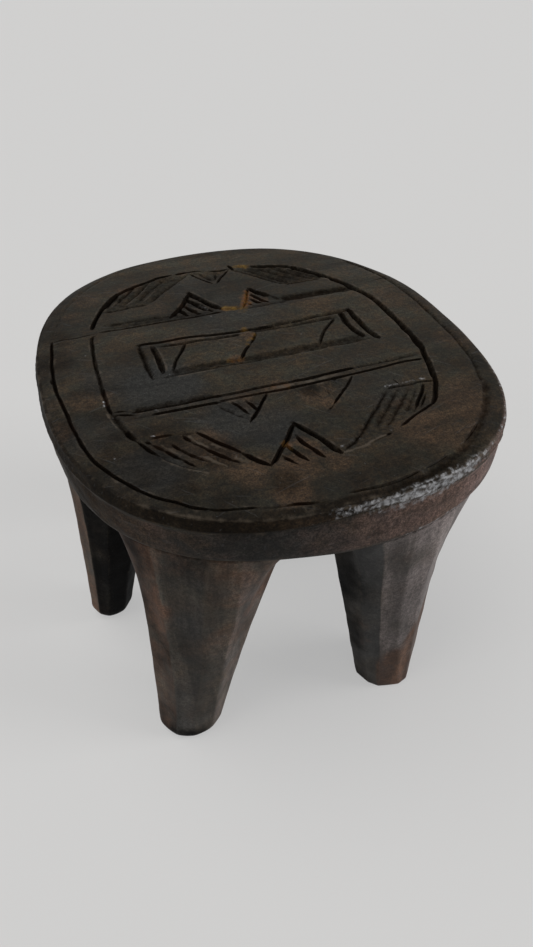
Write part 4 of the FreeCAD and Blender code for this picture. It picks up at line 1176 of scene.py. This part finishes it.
# one row of a leg: its points, its worn edges, and the shade where it meets the seat
def legRow(leg, height):
    foot, head = np.array(leg["foot"], float), np.array(leg["head"], float)
    middle = foot + (head - foot) * height / seat["underside"]
    direction, reach, facet, across = legLevel(leg, height)

    def placed(reach):
        return middle[0] + reach * np.cos(direction), middle[1] + reach * np.sin(direction)

    tuck = max(0.0, 1 - height / leg["soleRound"])
    shrink = leg["soleRound"] * legShape["soleCurl"] * (1 - math.sqrt(1 - tuck ** 2))
    # long shallow scoops from the adze, each facet with its own rhythm
    shortest, lengthStep = legShape["scoopLength"]
    rhythm = shortest + lengthStep * ((facet * 37 + leg["seed"]) % 10)
    beat = ((height + 5 * np.sin(across * math.pi) + facet * 17.3) / rhythm) % 1.0
    scoop = legShape["scoopDepth"] * (1 - (2 * beat - 1) ** 2) * np.sin(across * math.pi) ** 0.8
    toCorner = np.minimum(across, 1 - across)
    blunt = legShape["blunting"] * bell(toCorner, 0, legShape["bluntWidth"])
    settle = min(1.0, height / 10)
    x, y = reach * np.cos(direction), reach * np.sin(direction)
    grain = bumps(11, leg["seed"] + 1, x, y, np.full(len(x), height * 0.6))
    reach = reach - shrink - settle * (scoop + blunt + legShape["roughness"] * grain)
    # towards its top the leg's outer side comes out to meet the seat's lower edge
    inset, seatAngle = insetOf(*placed(reach))
    seatFoot = seat["underside"] - hangAt(seatAngle)
    outward = np.clip(np.cos(direction - seatAngle), 0, 1)
    meet = np.clip((height - legShape["meetFrom"]) / (seatFoot - legShape["meetFrom"]), 0, 1) ** 1.6
    gap = np.clip(inset - legShape["meetInset"], -4, legShape["meetReach"][1])
    near = easeBetween(outward, *legShape["meetFacing"])
    near = near * (1 - easeBetween(gap, *legShape["meetReach"]))
    tucked = legShape["headTuck"] * easeBetween(height - seatFoot, *legShape["tuckOver"])
    row = np.column_stack([*placed(reach + meet * gap * near - tucked * near), np.full(len(x), height)])

    def faded(far, strengthAndWidth):
        strength, width = strengthAndWidth
        return strength * bell(far, 0, width)

    worn = np.maximum(faded(toCorner, legShape["cornerWear"]), faded(height, legShape["soleWear"]))
    shaded = faded(np.maximum(seatFoot - height, 0), legShape["seatShade"])
    return row, worn, shaded, facet


# four-sided faces between two closed rows of points
def bridge(low, high):
    return list(zip(low.tolist(), np.roll(low, -1).tolist(), np.roll(high, -1).tolist(), high.tolist()))


# the stains of the two nearest legs, in degrees round the leg and mm of height: a brown patch has its
# direction and spread, height and spread, and strength, and soot its strength, direction and heights;
# the right one's side soot is painted shade on the side turned from the light
legs["front_left_leg"]["stains"] = {
    "browns": ((-152, 20, 162, 24, 0.45), (-45, 24, 165, 22, 0.6)), "brownEdge": (0.3, 1.1),
    "ragged": (0.4, 13, 80), "underSeat": (0.3, 185, 214), "clearedSoot": 0.1,
    "headSoot": (0.3, -130, 24, 164, 198), "footSoot": (0.62, -104, 40, 24, 7)}
legs["front_right_leg"]["stains"] = {
    "brownTop": (66, 0.7, -105), "ragged": (5, 16, 77), "brownEdge": (-22, 6), "brown": 1.2,
    "around": (-68, 48, 62), "clearedDust": 0.8, "sideSoot": (0.46, 0.2, 30, 170),
    "sideFrom": (-152, -118), "sideRagged": (4, 26, 78)}


# the left one of the two: brown patches on both sides, soot below the seat and at the foot
def stainFrontLeft(stains, masks, turn, places):
    z = places[2]
    strength, length, seed = stains["ragged"]
    ragged = strength * bumps(length, seed, *places)
    browns = []
    for way, wide, middle, high, strength in stains["browns"]:
        reach = np.hypot((turn - way) / wide, (z - middle) / high) + ragged
        browns.append((strength, 1 - easeBetween(reach, *stains["brownEdge"])))
    strength, low, high = stains["underSeat"]
    brown = sum(share * patch for share, patch in browns)
    masks["rust"] += brown + strength * easeBetween(z, low, high)
    masks["soot"] *= 1 - stains["clearedSoot"] * browns[0][1]
    strength, way, wide, low, high = stains["headSoot"]
    masks["soot"] += strength * bellTurn(turn, way, wide) * easeBetween(z, low, high)
    strength, way, wide, low, high = stains["footSoot"]
    masks["soot"] += strength * bellTurn(turn, way, wide) * easeBetween(-z, -low, -high)


# the right one: brown up to a slanting line, and its left side, turned from the light, darkened with
# painted shade
def stainFrontRight(stains, masks, turn, places):
    z = places[2]
    height, slant, way = stains["brownTop"]
    strength, length, seed = stains["ragged"]
    brownTop = height + slant * (turn - way) + strength * bumps(length, seed, *places)
    below, above = stains["brownEdge"]
    middle, *fading = stains["around"]
    brown = 1 - easeBetween(z, brownTop + below, brownTop + above)
    brown = brown * (1 - easeBetween(np.abs(turn - middle), *fading))
    strength, length, seed = stains["sideRagged"]
    shadedTo = turn + strength * bumps(length, seed, *places)
    least, rising, low, high = stains["sideSoot"]
    shaded = least + rising * easeBetween(z, low, high)
    shaded = shaded * (1 - easeBetween(shadedTo, *stains["sideFrom"]))
    # painted shade on the side turned from the light
    masks["soot"] += shaded * (turn < 0)
    masks["rust"] += stains["brown"] * brown
    masks["grey"] *= 1 - brown
    masks["dusty"] *= 1 - stains["clearedDust"] * brown


def makeLeg(name, leg):
    headHeight = seat["underside"] + legShape["headDepth"]
    heights = np.concatenate([legShape["soleRows"],
                              np.linspace(legShape["bodyFrom"], headHeight, legShape["rows"])])
    rows, worn, shaded, facets = zip(*(legRow(leg, height) for height in heights))
    facet, columns = facets[0], len(facets[0])
    points = [np.vstack(rows)]
    total = len(points[0])
    faces = []
    for first in range(0, total - columns, columns):
        row = first + np.arange(columns)
        faces.extend(bridge(row, row + columns))
    # the sole and the head close in rings towards their middles
    for first, upward in ((0, False), (total - columns, True)):
        ring = first + np.arange(columns)
        outer = points[0][ring]
        middle = outer.mean(0)
        hollow = 0.0 if upward else legShape["soleHollow"]
        closing = []
        for share in legShape["rings"]:
            inner = middle + (outer - middle) * share
            inner[:, 2] += hollow * (1 - share)
            points.append(inner)
            fresh = total + np.arange(columns)
            closing.extend(bridge(ring, fresh))
            ring = fresh
            total += columns
        points.append(middle[None] + np.array([[0, 0, hollow]]))
        beside = np.roll(ring, -1)
        closing.extend((low, high, total) for low, high in zip(ring.tolist(), beside.tolist()))
        faces.extend(closing if upward else [face[::-1] for face in closing])
        total += 1
    x, y, z = np.vstack(points).T
    foot, head = np.array(leg["foot"], float), np.array(leg["head"], float)
    middle = foot[:, None] + (head - foot)[:, None] * z / seat["underside"]
    turn = np.degrees(np.arctan2(y - middle[1], x - middle[0]))
    caps = [np.append(np.tile(facet, len(legShape["rings"])), 0)] * 2
    spare = total - len(points[0])
    tones = np.array(leg["tones"])[np.concatenate([*facets, *caps])].T
    tones = dict(zip(("soot", "rust", "grey", "dusty"), tones))
    masks = {
        "edge": np.concatenate([*worn, np.full(spare, legShape["endMasks"]["edge"])]),
        "cut": np.concatenate([*shaded, np.full(spare, legShape["endMasks"]["cut"])]),
        "ochre": np.zeros(total),
        "pale": np.zeros(total),
    }
    for mask, (strength, length, seed) in legShape["patchiness"].items():
        patchy = strength * bumps(length, leg["seed"] + seed, x, y, z)
        masks[mask] = tones[mask] * (1 + patchy) if mask == "dusty" else tones[mask] + patchy
    if name == "front_left_leg":
        stainFrontLeft(leg["stains"], masks, turn, (x, y, z))
    elif name == "front_right_leg":
        stainFrontRight(leg["stains"], masks, turn, (x, y, z))
    pieceName = name.replace("_leg", "_carved_leg")
    return makePiece(pieceName, np.vstack(points), faces, masks, legShape["sharpAngle"])


carvedLegs = {name: makeLeg(name, leg) for name, leg in legs.items()}
print("stool:", len(carvedLegs), "legs made")


# materials
# a value for a socket, or a link to it
def feed(tree, socket, value):
    if isinstance(value, (int, float, tuple)):
        socket.default_value = value
    else:
        tree.links.new(value, socket)


def addNode(tree, kind, values, **settings):
    node = tree.nodes.new(kind)
    for setting, choice in settings.items():
        setattr(node, setting, choice)
    for label, value in values.items():
        feed(tree, node.inputs[label], value)
    return node


def addMath(tree, operation, first, second, clamp=False):
    node = addNode(tree, "ShaderNodeMath", {0: first, 1: second}, operation=operation, use_clamp=clamp)
    return node.outputs[0]


def addNoise(tree, vector, scale, detail, roughness, distortion=0.0):
    values = {"Vector": vector, "Scale": scale, "Detail": detail, "Roughness": roughness,
              "Distortion": distortion}
    return addNode(tree, "ShaderNodeTexNoise", values).outputs["Fac"]


def addRange(tree, value, low, high, toLow=0.0, toHigh=1.0):
    values = {"Value": value, "From Min": low, "From Max": high, "To Min": toLow, "To Max": toHigh}
    node = addNode(tree, "ShaderNodeMapRange", values, interpolation_type="SMOOTHSTEP")
    return node.outputs["Result"]


def addMix(tree, share, first, second, mode="MIX"):
    node = addNode(tree, "ShaderNodeMix", {0: share, 6: first, 7: second}, data_type="RGBA",
                   blend_type=mode)
    return node.outputs[2]


# a shader node group, with the sockets its nodes read from and write to
def newGroup(name, inputs, outputs):
    group = bpy.data.node_groups.new(name, "ShaderNodeTree")
    for label, kind, value in inputs:
        socket = group.interface.new_socket(label, in_out="INPUT", socket_type="NodeSocket" + kind)
        if value is not None:
            socket.default_value = value
    for label in outputs:
        group.interface.new_socket(label, in_out="OUTPUT", socket_type="NodeSocketFloat")
    read, write = group.nodes.new("NodeGroupInput").outputs, group.nodes.new("NodeGroupOutput").inputs
    return group, read, write


# fibres that run along one axis: fine streaks, broad streaks and pores
def makeGrainGroup():
    group, read, write = newGroup("wood fibres", [
        ("Vector", "Vector", None), ("Stretch", "Vector", (1, 1, 1)), ("Scale", "Float", 1.0)],
        ["Streaks", "Fine", "Pores"])
    values = {0: read["Vector"], 1: read["Stretch"]}
    vector = addNode(group, "ShaderNodeVectorMath", values, operation="MULTIPLY").outputs[0]

    def fibres(scale, detail, roughness, distortion=0.0):
        return addNoise(group, vector, addMath(group, "MULTIPLY", read["Scale"], scale), detail,
                        roughness, distortion)

    feed(group, write["Streaks"], addRange(group, fibres(60.0, 6, 0.6, 0.6), 0.3, 0.7))
    feed(group, write["Fine"], fibres(420.0, 4, 0.6))
    feed(group, write["Pores"], addRange(group, fibres(900.0, 2, 0.5), 0.62, 0.74))
    return group


# a mask broken up by noise, for worn edges, residue and patches
def makeBrokenGroup(noiseStrength=2.6, presentFrom=0.2):
    group, read, write = newGroup("broken mask", [
        ("Vector", "Vector", None), ("Mask", "Float", 0.0), ("Scale", "Float", 100.0),
        ("Break", "Float", 0.6), ("Edge", "Float", 0.25)], ["Mask"])
    noise = addNoise(group, read["Vector"], read["Scale"], 8, 0.62, 0.3)
    shifted = addMath(group, "MULTIPLY", addMath(group, "SUBTRACT", noise, 0.5), noiseStrength)
    shifted = addMath(group, "MULTIPLY", shifted, read["Break"])
    low = addMath(group, "SUBTRACT", 0.5, read["Edge"])
    high = addMath(group, "ADD", 0.5, read["Edge"])
    broken = addRange(group, addMath(group, "ADD", read["Mask"], shifted), low, high)
    present = addRange(group, read["Mask"], 0.0, presentFrom)
    feed(group, write["Mask"], addMath(group, "MULTIPLY", broken, present))
    return group


# thin scratches in three headings, as a mask
def makeScratchGroup():
    group, read, write = newGroup("fine scratches", [
        ("Vector", "Vector", None), ("Scale", "Float", 1.0)], ["Scratches"])
    total = None
    headings = ((0.35, (1, 22, 8), 24.0), (1.2, (26, 1, 8), 20.0), (2.3, (1, 30, 12), 18.0))
    for turn, stretch, scale in headings:
        values = {"Vector": read["Vector"], "Rotation": (0.2, 0.1, turn),
                  "Scale": tuple(1 / part for part in stretch)}
        mapped = addNode(group, "ShaderNodeMapping", values, vector_type="TEXTURE").outputs[0]
        noise = addNoise(group, mapped, addMath(group, "MULTIPLY", read["Scale"], scale), 3, 0.5)
        line = addRange(group, noise, 0.66, 0.72)
        total = line if total is None else addMath(group, "MAXIMUM", total, line)
    feed(group, write["Scratches"], total)
    return group


groups = {"grain": makeGrainGroup(), "broken": makeBrokenGroup(), "scratches": makeScratchGroup()}


# how each mask is broken up: the noise's scale, its strength, and how soft the border is
brokenMasks = {
    "cut": (220.0, 0.45, 0.5), "grey": (26.0, 0.55, 0.5), "rust": (60.0, 0.6, 0.5),
    "ochre": (420.0, 0.6, 0.5), "edge": (120.0, 0.85, 0.35), "soot": (45.0, 0.35, 0.5),
    "dusty": (70.0, 0.25, 0.5), "pale": (300.0, 0.9, 0.42),
}


# an old, smoke-dark wood; the two woods differ in their fibres' direction and their tones
def makeWood(name, look):
    material = bpy.data.materials.new(name)
    material.use_nodes = True
    tree = material.node_tree
    shader = tree.nodes["Principled BSDF"].inputs
    place = tree.nodes.new("ShaderNodeTexCoord").outputs["Object"]

    def noise(scale, detail, roughness=0.6, distortion=0.0):
        return addNoise(tree, place, scale, detail, roughness, distortion)

    def group(name, values):
        values = {"Vector": place, **values}
        return addNode(tree, "ShaderNodeGroup", values, node_tree=groups[name]).outputs

    # a tone laid over a colour where a mask is
    def laid(mask, share, colour, tone):
        return addMix(tree, addMath(tree, "MULTIPLY", mask, share), colour, tone)

    # 1 less or more a share, by a noise
    def varied(value, low, high, share):
        return addRange(tree, value, low, high, 1 - share, 1 + share)

    # values times their shares, added up
    def summed(parts, total=None):
        for value, share in parts:
            part = addMath(tree, "MULTIPLY", value, share)
            total = part if total is None else addMath(tree, "ADD", total, part)
        return total

    plain, broken = {}, {}
    for label, (scale, strength, border) in brokenMasks.items():
        plain[label] = addNode(tree, "ShaderNodeAttribute", {}, attribute_name=label).outputs["Fac"]
        values = {"Mask": plain[label], "Scale": scale, "Break": strength, "Edge": border}
        broken[label] = group("broken", values)["Mask"]
    grain = group("grain", {"Stretch": look["stretch"], "Scale": look["grainScale"]})
    scratches = group("scratches", {"Scale": look["scratchScale"]})["Scratches"]
    patches = noise(look["patchScale"], 5, 0.6, 0.4)
    speckle, mottle = noise(look["speckleScale"], 4), noise(look["mottleScale"], 3)
    specks = addRange(tree, noise(look["speckScale"], 2, 0.5), 0.71, 0.78)

    colour = addMix(tree, addRange(tree, patches, 0.3, 0.7), look["brown"], look["black"])
    tint = addRange(tree, noise(look["tintScale"], 4), 0.34, 0.66)
    tint = addMix(tree, tint, look["warmTint"], look["coolTint"])
    colour = addMix(tree, 1.0, colour, tint, "MULTIPLY")
    # tones laid over the wood: the soot tone carries painted shade too, and the dusty one painted light
    for label in ("grey", "rust", "soot", "dusty"):
        colour = laid(broken[label], look[label + "Share"], colour, look[label])
    tone = addMath(tree, "MULTIPLY", varied(grain["Streaks"], 0.0, 1.0, look["streakShare"]),
                   varied(speckle, 0.3, 0.7, look["speckleShare"]))
    tone = addMath(tree, "MULTIPLY", tone, varied(mottle, 0.3, 0.7, look["mottleShare"]))
    toned = addNode(tree, "ShaderNodeVectorMath", {0: colour, "Scale": tone}, operation="SCALE")
    colour = laid(broken["edge"], look["wornShare"], toned.outputs[0], look["worn"])
    # the pale tone: worn wood and painted highlights
    paleAndHighlightTone = addMix(tree, addRange(tree, noise(300.0, 3, 0.7), 0.36, 0.64), look["paleDark"],
                      look["pale"])
    colour = laid(broken["pale"], look["paleShare"], colour, paleAndHighlightTone)
    colour = laid(scratches, look["scratchShare"], colour, look["pale"])
    colour = laid(specks, look["speckShare"], colour, look["pale"])
    # grime and painted shade in the cuts
    grime = addMix(tree, addRange(tree, mottle, 0.35, 0.65), look["grime"], look["dirt"])
    grime = laid(plain["rust"], look["rustyDirtShare"], grime, look["rustyDirt"])
    colour = laid(broken["cut"], look["grimeShare"], colour, grime)
    ochreTone = addMix(tree, addRange(tree, speckle, 0.35, 0.65), look["ochre"], look["ochreDark"])
    ochreTone = addMix(tree, plain["rust"], ochreTone, look["orange"])
    feed(tree, shader["Base Color"], laid(broken["ochre"], look["ochreShare"], colour, ochreTone))

    rough = addRange(tree, patches, 0.3, 0.7, look["roughLow"], look["roughHigh"])
    rough = summed([(broken[label], share) for label, share in look["roughened"].items()], rough)
    uneven = addMath(tree, "MULTIPLY", addMath(tree, "SUBTRACT", speckle, 0.5), look["roughSpeckle"])
    feed(tree, shader["Roughness"], addMath(tree, "ADD", rough, uneven, clamp=True))

    height = summed([(grain[label], share) for label, share in look["relief"].items()])
    height = summed([(scratches, -look["scratchDepth"]), (speckle, look["speckleRelief"])], height)
    bump = addNode(tree, "ShaderNodeBump", {"Strength": look["bump"], "Distance": look["bumpHeight"],
                                            "Height": height})
    feed(tree, shader["Normal"], bump.outputs[0])

    shine = addMath(tree, "MULTIPLY", addMath(tree, "SUBTRACT", 1.0, broken["cut"]), look["shine"])
    dulled = addRange(tree, broken["soot"], 0.0, 1.0, 1.0, look["sootShine"])
    feed(tree, shader["Coat Weight"], addMath(tree, "MULTIPLY", shine, dulled))
    shader["Coat Roughness"].default_value = look["sheenRough"]
    shader["Specular IOR Level"].default_value = look["specular"]
    shader["IOR"].default_value = look["ior"]
    return material


seatLook = {
    "stretch": (0.12, 1.0, 1.0), "grainScale": 1.0, "scratchScale": 1.0, "patchScale": 16.0,
    "brown": (0.0268, 0.0208, 0.0134, 1), "black": (0.0130, 0.0100, 0.0065, 1),
    "grey": (0.0150, 0.0149, 0.0138, 1), "rust": (0.050, 0.0295, 0.0165, 1), "rustShare": 0.72,
    "greyShare": 1.0, "dustyShare": 1.0, "rustyDirtShare": 0.75, "ochreShare": 0.85,
    "tintScale": 75.0, "warmTint": (1.14, 1.0, 0.82, 1), "coolTint": (0.86, 1.0, 1.03, 1),
    "soot": (0.0065, 0.0046, 0.003, 1), "sootShare": 0.85, "sootShine": 0.35,
    "speckleScale": 330.0, "mottleScale": 900.0, "speckScale": 760.0,
    "streakShare": 0.28, "speckleShare": 0.42, "mottleShare": 0.52, "speckShare": 0.13,
    "worn": (0.072, 0.058, 0.044, 1), "wornShare": 0.75, "scratchShare": 0.037, "scratchDepth": 0.35,
    # pale: worn wood and the colour of painted highlights
    "pale": (0.385, 0.394, 0.415, 1), "paleDark": (0.165, 0.166, 0.172, 1), "paleShare": 0.86,
    # grime and dirt: the cuts' own dirt and their painted shade
    "grime": (0.0020, 0.0016, 0.0012, 1), "dirt": (0.0072, 0.0050, 0.0033, 1), "grimeShare": 0.96,
    # dusty: dust, and the colour of painted light on the lit right side
    "rustyDirt": (0.0150, 0.0062, 0.0030, 1), "dusty": (0.149, 0.099, 0.087, 1),
    "ochre": (0.150, 0.092, 0.022, 1), "ochreDark": (0.060, 0.032, 0.010, 1),
    "orange": (0.105, 0.040, 0.013, 1),
    "roughLow": 0.46, "roughHigh": 0.62, "roughened": {"cut": 0.3, "edge": -0.1, "ochre": 0.3},
    "roughSpeckle": 0.3, "relief": {"Streaks": 0.5, "Fine": 0.45, "Pores": -0.35},
    "speckleRelief": 0.5, "bump": 0.65, "bumpHeight": 0.0006,
    "shine": 0.24, "sheenRough": 0.5, "specular": 0.018, "ior": 1.5,
}
legLook = dict(
    seatLook, stretch=(1.0, 1.0, 0.10), patchScale=40.0, tintScale=50.0,
    brown=(0.061, 0.052, 0.039, 1), black=(0.037, 0.032, 0.025, 1), grey=(0.031, 0.0305, 0.030, 1),
    warmTint=(1.10, 0.98, 0.92, 1), coolTint=(0.93, 0.99, 1.04, 1),
    # dusty: dust, and the colour of painted light on the lit facets
    rust=(0.098, 0.046, 0.025, 1), rustShare=0.82, dusty=(0.186, 0.160, 0.156, 1),
    # soot: soot, and painted shade on the shaded facets
    soot=(0.003, 0.003, 0.0032, 1), sootShare=0.97, sootShine=0.12, wornShare=0.3,
    streakShare=0.42, speckleShare=0.30, mottleShare=0.34, scratchShare=0.015, scratchDepth=0.08,
    bump=0.6, shine=0.36,
)
seatWood = makeWood("seat wood", seatLook)
legWood = makeWood("leg wood", legLook)

carvedSeat.data.materials.append(seatWood)
for leg in carvedLegs.values():
    leg.data.materials.append(legWood)
print("stool: wood finished")

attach(carvedSeat, "root")
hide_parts("seat")
for name, leg in carvedLegs.items():
    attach(leg, "root")
    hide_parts(name)


# the studio
studio = {
    "floorHalf": 20.0,
    "floorColour": (0.25, 0.25, 0.25, 1),
    "floorLift": 0.405,
    "worldColour": (1.0, 0.985, 0.96, 1),
    "worldStrength": 0.30,
    "backdrop": 0.604,
}

half = studio["floorHalf"]
floorMesh = bpy.data.meshes.new("studio_floor")
floorMesh.from_pydata([(-half, -half, 0), (half, -half, 0), (half, half, 0), (-half, half, 0)], [],
                      [(0, 1, 2, 3)])
floor = bpy.data.objects.new("studio_floor", floorMesh)
bpy.context.scene.collection.objects.link(floor)


# 1 for the rays that see the pale paper as it is: the camera's, and those through gloss and glass
def seenRays(tree):
    rays = tree.nodes.new("ShaderNodeLightPath").outputs
    seen = addMath(tree, "MAXIMUM", rays["Is Camera Ray"], rays["Is Glossy Ray"])
    return addMath(tree, "MAXIMUM", seen, rays["Is Transmission Ray"])


floorPaint = bpy.data.materials.new("floor paint")
floorPaint.use_nodes = True
floorTree = floorPaint.node_tree
lift = addMath(floorTree, "MULTIPLY", seenRays(floorTree), studio["floorLift"])
floorValues = {"Base Color": studio["floorColour"], "Roughness": 1.0, "Specular IOR Level": 0.0,
               "Emission Color": (1, 1, 1, 1), "Emission Strength": lift}
for label, value in floorValues.items():
    feed(floorTree, floorTree.nodes["Principled BSDF"].inputs[label], value)
floorMesh.materials.append(floorPaint)

world = bpy.data.worlds.new("studio")
bpy.context.scene.world = world
world.use_nodes = True
worldTree = world.node_tree
ambient = worldTree.nodes["Background"]
ambient.inputs["Color"].default_value = studio["worldColour"]
ambient.inputs["Strength"].default_value = studio["worldStrength"]
paperValues = {"Color": (1, 1, 1, 1), "Strength": studio["backdrop"]}
paper = addNode(worldTree, "ShaderNodeBackground", paperValues)
pickValues = {0: seenRays(worldTree), 1: ambient.outputs[0], 2: paper.outputs[0]}
pick = addNode(worldTree, "ShaderNodeMixShader", pickValues)
worldTree.links.new(pick.outputs[0], worldTree.nodes["World Output"].inputs["Surface"])

# broad soft lights: which way each stands (turned from +Y), how high, how strong and how wide
lamps = {
    "right_light": {"turn": 113, "rise": 20, "strength": 1.8, "width": 30,
                    "colour": (1, 0.985, 0.97)},
    "overhead_light": {"turn": -60, "rise": 70, "strength": 1.15, "width": 50,
                       "colour": (1, 0.98, 0.95)},
    "left_light": {"turn": -100, "rise": 24, "strength": 0.55, "width": 36,
                   "colour": (1, 0.96, 0.90)},
}
for name, lamp in lamps.items():
    light = bpy.data.lights.new(name, "SUN")
    light.energy = lamp["strength"]
    light.angle = math.radians(lamp["width"])
    light.color = lamp["colour"]
    holder = bpy.data.objects.new(name, light)
    turn, rise = math.radians(lamp["turn"]), math.radians(lamp["rise"])
    toLight = Vector((math.sin(turn) * math.cos(rise), math.cos(turn) * math.cos(rise), math.sin(rise)))
    holder.rotation_euler = toLight.to_track_quat("Z", "Y").to_euler()
    bpy.context.scene.collection.objects.link(holder)

view = {
    "place": (-0.14335, -0.44774, 0.5374),
    "down": 41.0,
    "turn": -18.76,
    "roll": -0.5,
    "lens": 26.76,
    "sensor": 36.0,
    "near": 0.01,
    "far": 200.0,
}
cameraData = bpy.data.cameras.new("camera")
cameraData.lens = view["lens"]
cameraData.sensor_width = view["sensor"]
cameraData.clip_start = view["near"]
cameraData.clip_end = view["far"]
camera = bpy.data.objects.new("camera", cameraData)
bpy.context.scene.collection.objects.link(camera)
aim = (Matrix.Rotation(math.radians(view["turn"]), 4, "Z")
       @ Matrix.Rotation(math.radians(90 - view["down"]), 4, "X")
       @ Matrix.Rotation(math.radians(view["roll"]), 4, "Z"))
camera.matrix_world = Matrix.Translation(Vector(view["place"])) @ aim
bpy.context.scene.camera = camera
bpy.context.scene.view_settings.view_transform = "Standard"
print("stool: studio set")
